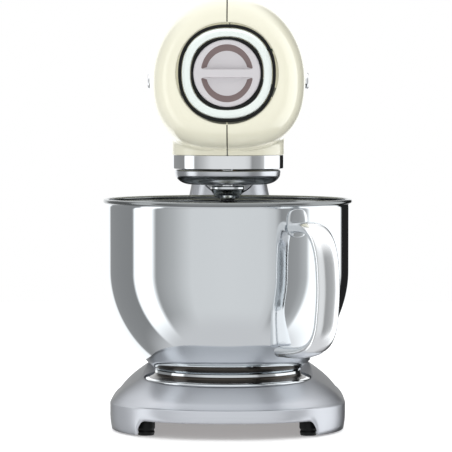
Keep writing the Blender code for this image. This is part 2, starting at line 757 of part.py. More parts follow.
def make_bowl_foot():
    """Flared collar welded under the bowl, with three inward lugs for the lock plate."""
    top, low = BOWL_FLOOR_Z - GAP, BOWL_FOOT_Z
    outer = bezier([(0.0635, top), (0.0640, top - 0.0055), (0.0665, low + 0.0025),
                    (BOWL_FOOT_RADIUS, low + 0.0008)], 4)
    profile = outer + [(BOWL_FOOT_RADIUS, low), (0.0690, low), (0.0625, low + 0.0020),
                       (0.0600, low + 0.0060), (0.0590, top)]
    foot = turned("bowl_foot_ring", profile, polished_steel(), PARTS, steps=36)
    for i in range(3):
        lug = box("bowl_lug_%d" % i, (-0.0100, -0.0660, low + 0.0003), (0.0100, -0.0500, low + 0.0023),
                  None, HELPERS)
        lug.rotation_euler = (0.0, 0.0, TAU * i / 3)
        boolean(foot, lug, "UNION")
    return foot


def make_handle():
    """Cast D-shaped grip: an oval strap from the wall plate down to the bowl's shoulder."""
    reach, top, low = HANDLE_REACH, HANDLE_TOP_Z, HANDLE_LOW_Z
    path = bezier([(BOWL_RADIUS + 0.0028, top - 0.0010), (reach - 0.0230, top + 0.0010),
                   (reach - 0.0060, top + 0.0010), (reach, top - 0.0300)], 8)
    path += bezier([(reach, top - 0.0300), (reach + 0.0022, top - 0.0500),
                    (reach + 0.0022, low + 0.0500), (reach - 0.0010, low + 0.0280)], 6)[1:]
    path += bezier([(reach - 0.0010, low + 0.0280), (reach - 0.0050, low),
                    (reach - 0.0320, low - 0.0010), (BOWL_SHOULDER, low - 0.0010)], 10)[1:]
    points = np.array(path)
    tangent = np.gradient(points, axis=0)
    tangent /= np.linalg.norm(tangent, axis=1)[:, None]
    sides = 14
    rings = []
    for (radius, height), (along_r, along_z) in zip(points, tangent):
        ring = []
        for i in range(sides):
            side = HANDLE_HALF_WIDTH * math.cos(TAU * i / sides)
            out = HANDLE_THICKNESS / 2 * math.sin(TAU * i / sides)
            ring.append((side, -(radius + out * along_z), height - out * along_r))
        rings.append(ring)
    handle = loft("bowl_handle", rings, chrome(), PARTS)
    boolean(handle, bowl_envelope("handle_bowl_cut"), "DIFFERENCE")
    wall = upper_wall("handle_upper_cut", BOWL_RADIUS + PLATE_THICKNESS + 2 * GAP)
    boolean(handle, wall, "DIFFERENCE")
    handle.rotation_euler = (0.0, 0.0, HANDLE_ANGLE)
    smooth(handle)
    return handle


def bowl_envelope(name):
    """The bowl's outside, grown by the fitting clearance, as a solid cutter."""
    profile = [(0.0, BOWL_RIM_Z), (BOWL_RADIUS + GAP, BOWL_RIM_Z)] + bowl_side(GAP)
    profile.append((0.0, BOWL_FLOOR_Z - GAP))
    return turned(name, profile, None, HELPERS, steps=40)


def upper_wall(name, radius):
    """A solid cylinder of that radius over the bowl's straight wall."""
    return cylinder(name, radius, BOWL_CURVE_Z, 0.25, None, HELPERS, sides=96)


def make_handle_plate():
    """Rounded steel plate, curved to the wall, that the grip is welded to."""
    plate = box("handle_plate",
                (-PLATE_HALF_WIDTH, -(BOWL_RADIUS + 0.0200), HANDLE_TOP_Z - 0.0085),
                (PLATE_HALF_WIDTH, -(BOWL_RADIUS - 0.0200), HANDLE_TOP_Z + 0.0150),
                polished_steel(), PARTS)
    outside = upper_wall("plate_outside", BOWL_RADIUS + PLATE_THICKNESS + GAP)
    inside = upper_wall("plate_inside", BOWL_RADIUS + GAP)
    boolean(plate, outside, "INTERSECT")
    boolean(plate, inside, "DIFFERENCE")
    plate.rotation_euler = (0.0, 0.0, HANDLE_ANGLE)
    return plate


# ---------------------------------------------------------------- head shells and trim
def head_stations(inset):
    """Distance behind the bowl's axis, half-width, top, bottom, widest height and lower power of
    the head's sections: round at the nose, then oval and a little flatter below."""
    wide, top = HEAD_HALF_WIDTH - inset, HEAD_TOP_Z - inset
    low = HEAD_BELLY_Z + inset
    ring = OUTLET_RADIUS - inset
    flat, middle = HEAD_BELLY_POWER, HEAD_MID_Z
    nose = bezier([
        (-HEAD_NOSE, ring, OUTLET_Z + ring, OUTLET_Z - ring, OUTLET_Z, 2.0),
        (-HEAD_NOSE + 0.003, wide - 0.007, top - 0.0125, low + 0.0080, middle, flat),
        (-0.050, wide, top, low, middle, flat), (0.0, wide, top, low, middle, flat)], 6)
    end = HEAD_REAR - inset
    tail = bezier([
        (end - 0.2030, wide, top, low, middle, flat), (end - 0.0690, wide, top, low, middle, flat),
        (end, wide - 0.007, top - 0.0205, low + 0.0200, HEAD_TAIL_Z, flat),
        (end, 0.0, HEAD_TAIL_Z, HEAD_TAIL_Z, HEAD_TAIL_Z, flat)], 8)
    return nose + tail


def head_half(sign, inset, count=12):
    """One side of the head's oval as a grid from the top seam to the bottom seam."""
    grid = []
    for y, half, top, low, middle, flat in head_stations(inset):
        row = []
        for i in range(count):
            angle = math.pi * i / (count - 1)
            up = math.cos(angle)
            power = 2.0 if up > 0 else flat
            reach = (top - middle) if up > 0 else (middle - low)
            x = half * abs(math.sin(angle)) ** (2 / power)
            row.append((sign * max(x, GAP / 2), y,
                        middle + reach * math.copysign(abs(up) ** (2 / power), up)))
        grid.append(row)
    return grid


def make_shell(side, sign):
    """Die-cast half shell with the seam on the head's centre line."""
    outer = head_half(sign, 0.0)
    inner = head_half(sign, HEAD_WALL)
    bm = bmesh.new()
    layers = [[[bm.verts.new(point) for point in row] for row in grid] for grid in (outer, inner)]
    rows, columns = len(outer), len(outer[0])
    for layer in layers:
        for i in range(rows - 1):
            for j in range(columns - 1):
                bm.faces.new((layer[i][j], layer[i][j + 1], layer[i + 1][j + 1], layer[i + 1][j]))
    for j in (0, columns - 1):
        for i in range(rows - 1):
            bm.faces.new((layers[0][i][j], layers[0][i + 1][j], layers[1][i + 1][j], layers[1][i][j]))
    for j in range(columns - 1):
        bm.faces.new((layers[0][0][j], layers[0][0][j + 1], layers[1][0][j + 1], layers[1][0][j]))
    bmesh.ops.remove_doubles(bm, verts=bm.verts, dist=0.000002)
    bmesh.ops.dissolve_degenerate(bm, edges=bm.edges, dist=0.000001)
    bmesh.ops.recalc_face_normals(bm, faces=bm.faces)
    shell = from_bmesh("head_shell_" + side, bm, cream_enamel(), PARTS)
    boolean(shell, half_disc("neck_" + side, sign, NECK_RADIUS, HEAD_BELLY_Z, 0.2560), "UNION")
    bore = cylinder("neck_bore_" + side, NECK_RADIUS - NECK_WALL, 0.20, 0.2640, None, HELPERS, sides=48)
    boolean(shell, bore, "DIFFERENCE")
    gate_half = COLUMN_TOP_HALF + 0.0035
    gate = box("head_gate_" + side, (-gate_half, 0.0280, 0.2450), (gate_half, 0.0520, 0.2600),
               None, HELPERS)
    boolean(shell, gate, "DIFFERENCE")
    slot = box("head_slot_" + side, (-HEAD_SLOT_HALF, HEAD_SLOT_FRONT_Y, 0.2),
               (HEAD_SLOT_HALF, HEAD_SLOT_REAR_Y, 0.2700), None, HELPERS)
    boolean(shell, slot, "DIFFERENCE")
    smooth(shell)
    return shell


def half_disc(name, sign, radius, low, high):
    """Half a cylinder on one side of the head's seam."""
    loop = [(sign * max(radius * math.sin(a), GAP / 2), radius * math.cos(a))
            for a in (math.pi * i / 24 for i in range(25))]
    solid = outline(name, [loop], high - low, None, HELPERS)
    solid.location = (0.0, 0.0, (low + high) / 2)
    return solid


def make_neck_band():
    """Polished ring round the bottom of the neck."""
    high, low = HEAD_BELLY_Z - GAP, HUB_TOP_Z + 0.0012
    outer, inner = NECK_RADIUS + 0.0004, NECK_RADIUS - NECK_WALL - 0.0004
    return turned("neck_band", [
        (outer, high), (outer, low + 0.0005), (outer - 0.0005, low),
        (inner, low), (inner, high)], chrome(), PARTS, steps=40)


def facing(obj, y=0.0, z=OUTLET_Z):
    """Turn a piece made about local Z to face the front, on the outlet's axis."""
    obj.location = (0.0, y, z)
    obj.rotation_euler = (math.pi / 2, 0.0, 0.0)
    return obj


def make_outlet():
    """Gaskets and trim round the front power outlet; local Z points out of the nose."""
    seat = OUTLET_RADIUS - HEAD_WALL - 0.0011
    gasket = facing(turned("outlet_gasket", [
        (GASKET_RADIUS, 0.0020), (GASKET_RADIUS, GAP), (seat, GAP),
        (seat, -0.0060), (seat - 0.0020, -0.0060), (TRIM_RADIUS + GAP, 0.0020)],
        black_rubber(), PARTS, steps=32), -HEAD_NOSE)
    trim = facing(turned("outlet_trim_ring", [
        (TRIM_RADIUS - 0.0030, 0.0036), (TRIM_RADIUS, 0.0022), (TRIM_RADIUS - 0.0015, -0.0050),
        (INNER_GASKET_RADIUS + GAP, -0.0050), (INNER_GASKET_RADIUS + GAP, 0.0030)],
        chrome(), PARTS, steps=32), -HEAD_NOSE)
    lip = facing(turned("outlet_inner_gasket", [
        (INNER_GASKET_RADIUS, 0.0034),
        (INNER_GASKET_RADIUS, -0.0050), (CAP_RADIUS - 0.0040, -0.0050), (CAP_RADIUS - 0.0040, -0.0038),
        (CAP_RADIUS + GAP, -0.0038), (CAP_RADIUS + GAP, 0.0030)],
        black_rubber(), PARTS, steps=32), -HEAD_NOSE)
    return [gasket, trim, lip]


def make_outlet_cap():
    """Plastic cap with two D-shaped finger recesses either side of a grip bar."""
    cap = facing(turned("outlet_cap", [
        (0.0, 0.0052), (CAP_RADIUS - 0.0016, 0.0046), (CAP_RADIUS - 0.0004, 0.0034),
        (CAP_RADIUS, 0.0020), (CAP_RADIUS, -0.0034), (0.0, -0.0034)],
        grey_plastic(), PARTS, steps=32), -HEAD_NOSE)
    for label, sign in (("upper", 1), ("lower", -1)):
        bm = bmesh.new()
        bmesh.ops.create_cone(bm, cap_ends=True, segments=40, radius1=CAP_RADIUS - 0.0100,
                              radius2=CAP_RADIUS - 0.0050, depth=0.0080,
                              matrix=Matrix.Translation((0.0, 0.0, 0.0040)))
        geometry = bm.verts[:] + bm.edges[:] + bm.faces[:]
        bmesh.ops.bisect_plane(bm, geom=geometry, plane_co=(0.0, sign * CAP_BAR_HALF, 0.0),
                               plane_no=(0.0, -sign, 0.0), clear_outer=True)
        bmesh.ops.contextual_create(bm, geom=[e for e in bm.edges if e.is_boundary])
        bmesh.ops.recalc_face_normals(bm, faces=bm.faces)
        boolean(cap, facing(from_bmesh("cap_recess_" + label, bm, None, HELPERS), -HEAD_NOSE),
                "DIFFERENCE")
    return cap


def make_badges():
    """Small oval trim studs on the widest part of each side."""
    badges = []
    for side, sign in (("left", -1), ("right", 1)):
        stud = turned("side_badge_" + side, [
            (0.0, 0.0036), (0.0050, 0.0030), (0.0074, 0.0014), (0.0074, 0.0), (0.0, 0.0)],
            chrome(), PARTS, steps=24)
        stud.location = (sign * (HEAD_HALF_WIDTH + GAP), 0.045, HEAD_MID_Z)
        stud.rotation_euler = (0.0, sign * math.pi / 2, 0.0)
        badges.append(stud)
    return badges


def make_speed_control():
    """Guide plate on top of the head and the lever that slides along it."""
    top = HEAD_TOP_Z + GAP
    plate = outline("speed_plate", [stadium(0.0100, LEVER_Y - 0.0140, LEVER_Y + LEVER_TRAVEL + 0.0140)],
                    0.0024, chrome(), PARTS)
    plate.location = (0.0, 0.0, top + 0.0012)
    lever = box("speed_lever", (-0.0070, LEVER_Y - 0.0085, top + 0.0024 + GAP),
                (0.0070, LEVER_Y + 0.0085, top + 0.0120), chrome(), PARTS, bevel=0.0018)
    return plate, lever


# ---------------------------------------------------------------- head internals
def chassis_floor_half():
    """Half-width of the chassis floor: out to the middle of the hinge cheeks."""
    return COLUMN_TOP_HALF + RUN * 0.4 + CHEEK_THICKNESS / 2


def chassis_floor_z():
    """Height of the chassis floor, just above where the head's inside is wide enough for it."""
    share = (chassis_floor_half() + CHEEK_THICKNESS) / (HEAD_HALF_WIDTH - HEAD_WALL)
    drop = (1.0 - share ** HEAD_BELLY_POWER) ** (1.0 / HEAD_BELLY_POWER)
    return HEAD_MID_Z - (HEAD_MID_Z - HEAD_BELLY_Z - HEAD_WALL) * drop + RUN + GAP


def make_chassis():
    """Cast frame: gearbox sleeve and flange, floor, outlet bearing wall and two hinge cheeks."""
    flange_top = HEAD_BELLY_Z + 0.0080
    frame = cylinder("gearbox_chassis", NECK_RADIUS - NECK_WALL - 0.0012,
                     GEAR_Z + GEAR_FACE / 2 + 0.0012, flange_top, cast_metal(), PARTS, sides=40)
    sleeve = cylinder("chassis_sleeve", 0.0150, flange_top - 0.002, MOTOR_Z - 0.0080, None, HELPERS,
                      sides=32)
    floor_z = chassis_floor_z()
    floor_half = chassis_floor_half()
    floor = box("chassis_floor", (-floor_half, 0.0250, floor_z),
                (floor_half, HEAD_SLOT_FRONT_Y - 0.010, floor_z + CHASSIS_FLOOR), None, HELPERS)
    step = box("chassis_step", (-0.0250, 0.0230, flange_top - 0.003), (0.0250, 0.0340, floor_z + 0.002),
               None, HELPERS)
    wall = box("chassis_outlet_wall", (-0.0170, -0.0400, flange_top - 0.002),
               (0.0170, -0.0330, OUTLET_Z + 0.0150), None, HELPERS)
    boolean(frame, sleeve, "UNION")
    boolean(frame, step, "UNION")
    boolean(frame, floor, "UNION")
    boolean(frame, wall, "UNION")
    for side, sign in (("left", -1), ("right", 1)):
        front, low = HINGE_Y - 0.0650, floor_z + 0.0012
        cheek_loop = [(front, low), (HINGE_Y - 0.0130, low)]
        cheek_loop += [(HINGE_Y + 0.0170 * math.sin(a), HINGE_Z - 0.0170 * math.cos(a))
                       for a in (math.pi * i / 10 for i in range(11))]
        cheek_loop += [(HINGE_Y - 0.0230, HINGE_Z + 0.0170), (front, floor_z + 0.0080)]
        cheek = outline("chassis_cheek_" + side, [cheek_loop], CHEEK_THICKNESS, None, HELPERS)
        cheek.rotation_euler = (math.pi / 2, 0.0, math.pi / 2)
        cheek.location = (sign * floor_half, 0.0, 0.0)
        boolean(frame, cheek, "UNION")
    holes = [
        ("sleeve", MAIN_BEARING + GAP, (0.0, 0.0, 0.0), (0.0, 0.0, 0.0), 0.20, 0.35, 28),
        ("outlet", OUTLET_BEARING + GAP, (0.0, 0.0, OUTLET_Z), (math.pi / 2, 0.0, 0.0), 0.02, 0.06, 24),
        ("pin", PIN_RADIUS + GAP, (0.0, HINGE_Y, HINGE_Z), (0.0, math.pi / 2, 0.0), -0.06, 0.06, 24)]
    for label, radius, place, turn, low, high, sides in holes:
        drill = cylinder("chassis_hole_" + label, radius, low, high, None, HELPERS, sides=sides)
        drill.location = place
        drill.rotation_euler = turn
        boolean(frame, drill, "DIFFERENCE")
    smooth(frame)
    return frame


def make_bearing(name, outer, inner, width):
    """A sealed ball bearing as one ring."""
    return turned(name, [
        (outer, width / 2), (outer, -width / 2), (inner, -width / 2), (inner, width / 2)],
        machined_steel(), PARTS, steps=20)


def make_main_bearings():
    made = []
    for label, height in MAIN_BEARING_HEIGHTS:
        bearing = make_bearing("main_bearing_" + label, MAIN_BEARING, MAIN_SHAFT_RADIUS + GAP,
                               MAIN_BEARING_WIDTH)
        bearing.location = (0.0, 0.0, height)
        made.append(bearing)
    return made


def make_ring_gear():
    """Fixed internal gear under the chassis flange, inside the neck."""
    rim = circle(NECK_RADIUS - NECK_WALL - 0.0012, 40)
    teeth = gear_loop(RING_TEETH, GEAR_MODULE, BACKLASH, flank_points=2, internal=True)
    ring = outline("ring_gear", [rim, teeth], GEAR_FACE, machined_steel(), PARTS)
    ring.location = (0.0, 0.0, GEAR_Z)
    return ring


def make_hub():
    """Cast planetary carrier: a shallow dish that turns under the neck and carries the beater."""
    low, top = HUB_BOTTOM_Z, HUB_TOP_Z
    corner = bezier([(HUB_RADIUS, top), (HUB_RADIUS, top - 0.0065), (HUB_RADIUS - 0.0050, low + 0.0010),
                     (HUB_RADIUS - 0.0120, low)], 6)
    hub = turned("planetary_hub", [(0.0, top)] + corner + [(0.0, low)],
                 material("satin_aluminium", (0.62, 0.62, 0.63), 0.3, 1.0), PARTS, steps=40)
    for label, y, radius in (("main", 0.0, MAIN_SHAFT_RADIUS + GAP),
                             ("planet", PLANET_Y, BEATER_BUSH_RADIUS + GAP)):
        drill = cylinder("hub_bore_" + label, radius, low - 0.01, top + 0.01, None, HELPERS, sides=24)
        drill.location = (0.0, y, 0.0)
        boolean(hub, drill, "DIFFERENCE")
    return hub


def make_main_shaft():
    """Vertical drive shaft: hub at the bottom, worm wheel and mitre gear at the top."""
    radius, top = MAIN_SHAFT_RADIUS, OUTLET_Z - MITRE_RADIUS + 0.0030
    return turned("main_shaft", [
        (0.0, top), (radius - 0.0006, top), (radius, top - 0.0006), (radius, HUB_BOTTOM_Z - 0.0008),
        (radius - 0.0008, HUB_BOTTOM_Z - 0.0016), (0.0, HUB_BOTTOM_Z - 0.0016)],
        machined_steel(), PARTS, steps=24)


def make_worm_wheel():
    """Nylon wheel whose teeth lean to suit the worm."""
    teeth = gear_loop(WHEEL_TEETH, GEAR_MODULE, BACKLASH, flank_points=2)
    bore = circle(MAIN_SHAFT_RADIUS + GAP, 24)
    wheel = outline("worm_wheel", [teeth, bore], 0.0060, nylon(), PARTS)
    lead_slope = GEAR_MODULE / (2 * WORM_PITCH_RADIUS)
    twist_about_z(wheel, lead_slope / (WHEEL_TEETH * GEAR_MODULE / 2))
    wheel.location = (0.0, 0.0, MOTOR_Z)
    return wheel


def make_beater_parts():
    """Pinion, shaft, collar, spring and drive pin, all about the beater's own axis."""
    bore = circle(BEATER_SHAFT_RADIUS + GAP, 20)
    pinion = outline("planet_gear", [gear_loop(PLANET_TEETH, GEAR_MODULE, BACKLASH, 3), bore],
                     GEAR_FACE, machined_steel(), PARTS)
    pinion.location = (0.0, PLANET_Y, GEAR_Z)
    pinion.rotation_euler = (0.0, 0.0, math.pi / 2)
    radius = BEATER_SHAFT_RADIUS
    shaft = turned("beater_shaft", [
        (0.0, GEAR_Z + 0.0042), (radius, GEAR_Z + 0.0042), (radius, BEATER_END_Z + 0.0012),
        (radius - 0.0012, BEATER_END_Z), (0.0, BEATER_END_Z)], machined_steel(), PARTS, steps=24)
    bush_top, bush_low = HUB_TOP_Z - 0.0002, HUB_BOTTOM_Z + 0.0004
    bush = turned("beater_bush", [
        (BEATER_BUSH_RADIUS, bush_top), (BEATER_BUSH_RADIUS, bush_low), (radius + GAP, bush_low),
        (radius + GAP, bush_top)], bronze(), PARTS, steps=24)
    top = HUB_BOTTOM_Z - RUN
    collar = turned("beater_collar", [
        (radius + 0.0095, top), (radius + 0.0099, top - 0.0012), (radius + 0.0089, top - 0.0034),
        (radius + 0.0055, top - 0.0062), (radius + 0.0049, top - 0.0064),
        (radius + 0.0049, top - 0.0096), (radius + 0.0031, top - 0.0106),
        (radius + GAP, top - 0.0106), (radius + GAP, top)], chrome(), PARTS, steps=24)
    start = top - 0.0106 - SPRING_WIRE - GAP
    end = DRIVE_PIN_Z + DRIVE_PIN_RADIUS + SPRING_WIRE + GAP
    steps = 12
    count = SPRING_TURNS * steps
    points = [(SPRING_RADIUS * math.cos(TAU * i / steps), SPRING_RADIUS * math.sin(TAU * i / steps),
               start + (end - start) * i / count) for i in range(count + 1)]
    spring = wire("beater_spring", points, SPRING_WIRE, machined_steel(), PARTS)
    for part in (shaft, bush, collar, spring):
        part.location = (0.0, PLANET_Y, 0.0)
    hole = cylinder("drive_pin_hole", DRIVE_PIN_RADIUS + GAP, -0.02, 0.02, None, HELPERS, sides=12)
    hole.location = (0.0, PLANET_Y, DRIVE_PIN_Z)
    hole.rotation_euler = (0.0, math.pi / 2, 0.0)
    boolean(shaft, hole, "DIFFERENCE")
    half, pin_radius = DRIVE_PIN_HALF, DRIVE_PIN_RADIUS
    pin = turned("drive_pin", [(0.0, half), (pin_radius, half - 0.0004), (pin_radius, 0.0004 - half),
                               (0.0, -half)], machined_steel(), PARTS, steps=16)
    pin.location = (0.0, PLANET_Y, DRIVE_PIN_Z)
    pin.rotation_euler = (0.0, math.pi / 2, 0.0)
    return [pinion, shaft, collar, spring, pin], bush


def make_armature():
    """Motor shaft with its worm, lying along the head beside the main shaft."""
    radius = WORM_PITCH_RADIUS - 1.25 * GEAR_MODULE
    nose, journal, end = MOTOR_SHAFT_RADIUS - 0.0004, MOTOR_SHAFT_RADIUS, MOTOR_SHAFT_LENGTH
    shaft = turned("armature_shaft", [
        (0.0, 0.0), (nose - 0.0004, 0.0), (nose, -0.0006), (nose, -0.0120), (radius, -0.0140),
        (radius, -0.0420), (journal, -0.0440), (journal, 0.0006 - end), (journal - 0.0006, -end),
        (0.0, -end)], machined_steel(), PARTS, steps=20)
    pitch = math.pi * GEAR_MODULE
    turns, steps = 4, 14
    count = turns * steps
    tip = WORM_PITCH_RADIUS + GEAR_MODULE
    half_root = (pitch / 2 - BACKLASH) / 2 + 1.25 * GEAR_MODULE * math.tan(math.radians(20))
    half_tip = (pitch / 2 - BACKLASH) / 2 - GEAR_MODULE * math.tan(math.radians(20))
    rings = []
    for i in range(count + 1):
        angle = TAU * i / steps
        along = MOTOR_FRONT_Y + pitch * (i / steps - turns / 2)
        fade = min(1.0, i / 8, (count - i) / 8)
        reach = radius + 0.0002 + (tip - radius - 0.0002) * fade
        ring = []
        for r, shift in ((radius - 0.0005, -half_root), (reach, -half_tip), (reach, half_tip),
                         (radius - 0.0005, half_root)):
            ring.append((r * math.cos(angle), r * math.sin(angle), along + shift))
        rings.append(ring)
    thread = loft("worm_thread", rings, None, HELPERS)
    thread.parent = shaft
    boolean(shaft, thread, "UNION")
    core = on_motor_shaft("armature_core", ROTOR_RADIUS, ROTOR_FRONT, ROTOR_REAR)
    commutator = on_motor_shaft("commutator", COMMUTATOR_RADIUS, COMMUTATOR_FRONT, COMMUTATOR_REAR)
    return [shaft, core, commutator, make_fan()]


def on_motor_shaft(name, radius, front, rear):
    """A copper-wound ring on the motor shaft, between two distances behind its front end."""
    bore = MOTOR_SHAFT_RADIUS + GAP
    return turned(name, [(radius, -front), (radius, -rear), (bore, -rear), (bore, -front)],
                  copper_winding(), PARTS, steps=20)


def make_fan():
    """Cooling fan on the motor shaft: flat blades on a disc."""
    bore, hub, disc = MOTOR_SHAFT_RADIUS + GAP, 0.0085, FAN_REAR - 0.0016
    fan = turned("cooling_fan", [
        (bore, -FAN_FRONT), (hub, -FAN_FRONT), (hub, -disc), (ROTOR_RADIUS, -disc),
        (ROTOR_RADIUS, -FAN_REAR), (bore, -FAN_REAR)], nylon(), PARTS, steps=24)
    for i in range(FAN_BLADES):
        blade = box("fan_blade_%d" % i, (hub - 0.0015, -0.0006, -disc - 0.0005),
                    (ROTOR_RADIUS - 0.0002, 0.0006, -FAN_FRONT - 0.0010), None, HELPERS)
        blade.rotation_euler = (0.0, 0.0, TAU * i / FAN_BLADES)
        blade.parent = fan
        boolean(fan, blade, "UNION")
    return fan


def make_motor_stator():
    """Laminated field ring of the motor, standing on the chassis floor."""
    outer = MOTOR_Z - (chassis_floor_z() + CHASSIS_FLOOR + GAP)
    inner, half = ROTOR_RADIUS + 0.0015, (ROTOR_REAR - ROTOR_FRONT) / 2 + 0.0010
    stator = turned("motor_stator", [(outer, half), (outer, -half), (inner, -half), (inner, half)],
                    machined_steel(), PARTS, steps=28)
    stator.location = (WORM_X, MOTOR_FRONT_Y + (ROTOR_FRONT + ROTOR_REAR) / 2, MOTOR_Z)
    stator.rotation_euler = (math.pi / 2, 0.0, 0.0)
    return stator


def make_motor_bearings():
    made = []
    for label, along, inner in (("front", 0.0060, MOTOR_SHAFT_RADIUS - 0.0004),
                                ("rear", MOTOR_SHAFT_LENGTH - 0.0086, MOTOR_SHAFT_RADIUS)):
        bearing = make_bearing("motor_bearing_" + label, MOTOR_BEARING, inner + GAP,
                               MOTOR_BEARING_WIDTH)
        bearing.location = (WORM_X, MOTOR_FRONT_Y + along, MOTOR_Z)
        bearing.rotation_euler = (math.pi / 2, 0.0, 0.0)
        made.append(bearing)
    return made


def make_outlet_drive():
    """Mitre gear and square-socketed coupler behind the front outlet."""
    radius, shaft_radius = COUPLER_RADIUS, COUPLER_SHAFT_RADIUS
    gear = mitre_gear("outlet_mitre_gear", shaft_radius + GAP, machined_steel(), PARTS)
    gear.location = (0.0, 0.0, OUTLET_Z)
    gear.rotation_euler = (-math.pi / 2, 0.0, 0.0)
    shaft = facing(turned("outlet_coupler", [
        (0.0, 0.0700), (radius - 0.0006, 0.0700), (radius, 0.0694), (radius, 0.0460),
        (shaft_radius, 0.0440), (shaft_radius, 0.0090), (0.0, 0.0090)], chrome(), PARTS, steps=24))
    socket = box("coupler_socket", (-SOCKET_HALF, -0.0715, OUTLET_Z - SOCKET_HALF),
                 (SOCKET_HALF, -0.0500, OUTLET_Z + SOCKET_HALF), None, HELPERS)
    boolean(shaft, socket, "DIFFERENCE")
    bearing = facing(make_bearing("outlet_bearing", OUTLET_BEARING, shaft_radius + GAP, 0.0065),
                     -0.0365)
    return [gear, shaft], bearing


def make_control_board():
    """Speed control board above the motor."""
    return box("control_board", (-0.0400, 0.0600, 0.3300), (0.0400, 0.1300, 0.3316),
               circuit_green(), PARTS)


def make_keel():
    """Half-round guard under the head that sits in the column's saddle, with the latch keeper."""
    front = HINGE_Y - 0.0790
    rear = KEEPER_Y - 0.0020 - GAP
    radius = SADDLE_RADIUS - RUN
    angles = [-math.pi * i / 24 for i in range(25)]
    loop = [(radius, HEAD_BELLY_Z - GAP - SADDLE_AXIS_Z)]
    loop += [(radius * math.cos(a), radius * math.sin(a)) for a in angles]
    loop += [(-radius, HEAD_BELLY_Z - GAP - SADDLE_AXIS_Z)]
    keel = outline("head_keel", [loop], rear - front, silver_paint(), PARTS)
    keel.location = (0.0, (front + rear) / 2, SADDLE_AXIS_Z)
    keel.rotation_euler = (math.pi / 2, 0.0, 0.0)
    keeper = turned("latch_keeper", [
        (0.0110, 0.0), (0.0110, -0.0020), (BOLT_RADIUS + 0.0004, -0.0020), (BOLT_RADIUS + 0.0004, 0.0)],
        machined_steel(), PARTS, steps=20)
    keeper.location = (0.0, KEEPER_Y, LATCH_Z)
    keeper.rotation_euler = (-math.pi / 2, 0.0, 0.0)
    pocket = cylinder("keeper_pocket", BOLT_RADIUS + 0.0010, -0.0200, 0.01, None, HELPERS, sides=20)
    pocket.location = (0.0, KEEPER_Y, LATCH_Z)
    pocket.rotation_euler = (-math.pi / 2, 0.0, 0.0)
    boolean(keel, pocket, "DIFFERENCE")
    return [keel, keeper]


# ---------------------------------------------------------------- assembly
def build():
    origin = pivot("mixer_origin", (0.0, 0.0, 0.0), None, PARTS)
    stand = [make_base(), make_column(), make_lock_plate(), make_cord_gland()]
    stand += make_feet() + make_hinge_parts()
    latch_axis = pivot("latch_slide", (0.0, KNOB_END_Y, LATCH_Z), origin, PARTS)
    latch = make_latch()
    bowl_axis = pivot("bowl_axis", (0.0, 0.0, BOWL_FOOT_Z), origin, PARTS)
    bowl = [make_bowl(), make_bowl_foot(), make_handle(), make_handle_plate()]
    head_hinge = pivot("head_hinge", (0.0, HINGE_Y, HINGE_Z), origin, PARTS)
    head = [make_shell("left", -1), make_shell("right", 1), make_neck_band(), make_chassis(),
            make_ring_gear(), make_motor_stator(), make_control_board()]
    head += make_main_bearings() + make_motor_bearings() + make_outlet() + make_badges() + make_keel()
    cap_axis = pivot("cap_axis", (0.0, -HEAD_NOSE, OUTLET_Z), head_hinge, PARTS)
    cap = [make_outlet_cap()]
    plate, lever = make_speed_control()
    head.append(plate)
    lever_slide = pivot("lever_slide", (0.0, LEVER_Y, HEAD_TOP_Z), head_hinge, PARTS)
    hub_axis = pivot("hub_axis", (0.0, 0.0, HUB_BOTTOM_Z), head_hinge, PARTS)
    beater, beater_bush = make_beater_parts()
    carrier = [make_hub(), make_main_shaft(), make_worm_wheel(), beater_bush]
    drive_gear = mitre_gear("main_mitre_gear", MAIN_SHAFT_RADIUS + GAP, machined_steel(), PARTS)
    drive_gear.location = (0.0, 0.0, OUTLET_Z)
    drive_gear.rotation_euler = (0.0, 0.0, math.pi / MITRE_TEETH)
    carrier.append(drive_gear)
    beater_axis = pivot("beater_axis", (0.0, PLANET_Y, HUB_BOTTOM_Z), hub_axis, PARTS)
    motor_axis = pivot("motor_axis", (WORM_X, MOTOR_FRONT_Y, MOTOR_Z), head_hinge, PARTS)
    armature = make_armature()
    for part in armature:
        part.location = (WORM_X, MOTOR_FRONT_Y, MOTOR_Z)
        part.rotation_euler = (math.pi / 2, 0.0, 0.0)
    outlet_axis = pivot("outlet_axis", (0.0, 0.0, OUTLET_Z), head_hinge, PARTS)
    outlet, outlet_bearing = make_outlet_drive()
    head.append(outlet_bearing)
    for objects, parent in ((stand, origin), (latch, latch_axis), (bowl, bowl_axis), (head, head_hinge),
                            (cap, cap_axis), ([lever], lever_slide), (carrier, hub_axis),
                            (beater, beater_axis), (armature, motor_axis), (outlet, outlet_axis)):
        hang(objects, parent)
    hang([helper for helper in HELPERS.objects if helper.parent is None], origin)
    centre_on_footprint(origin)


def centre_on_footprint(origin):
    """Move the whole mixer so the middle of its depth is at Y = 0."""
    bpy.context.view_layer.update()
    depsgraph = bpy.context.evaluated_depsgraph_get()
    reach = []
    for obj in PARTS.objects:
        if obj.type == "MESH":
            evaluated = obj.evaluated_get(depsgraph)
            reach += [(evaluated.matrix_world @ vertex.co).y for vertex in evaluated.data.vertices]
    origin.location.y = -(min(reach) + max(reach)) / 2


clear_scene()
PARTS = collection("stand_mixer")
HELPERS = collection("cutting_shapes")
build()
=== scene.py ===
import json
import math

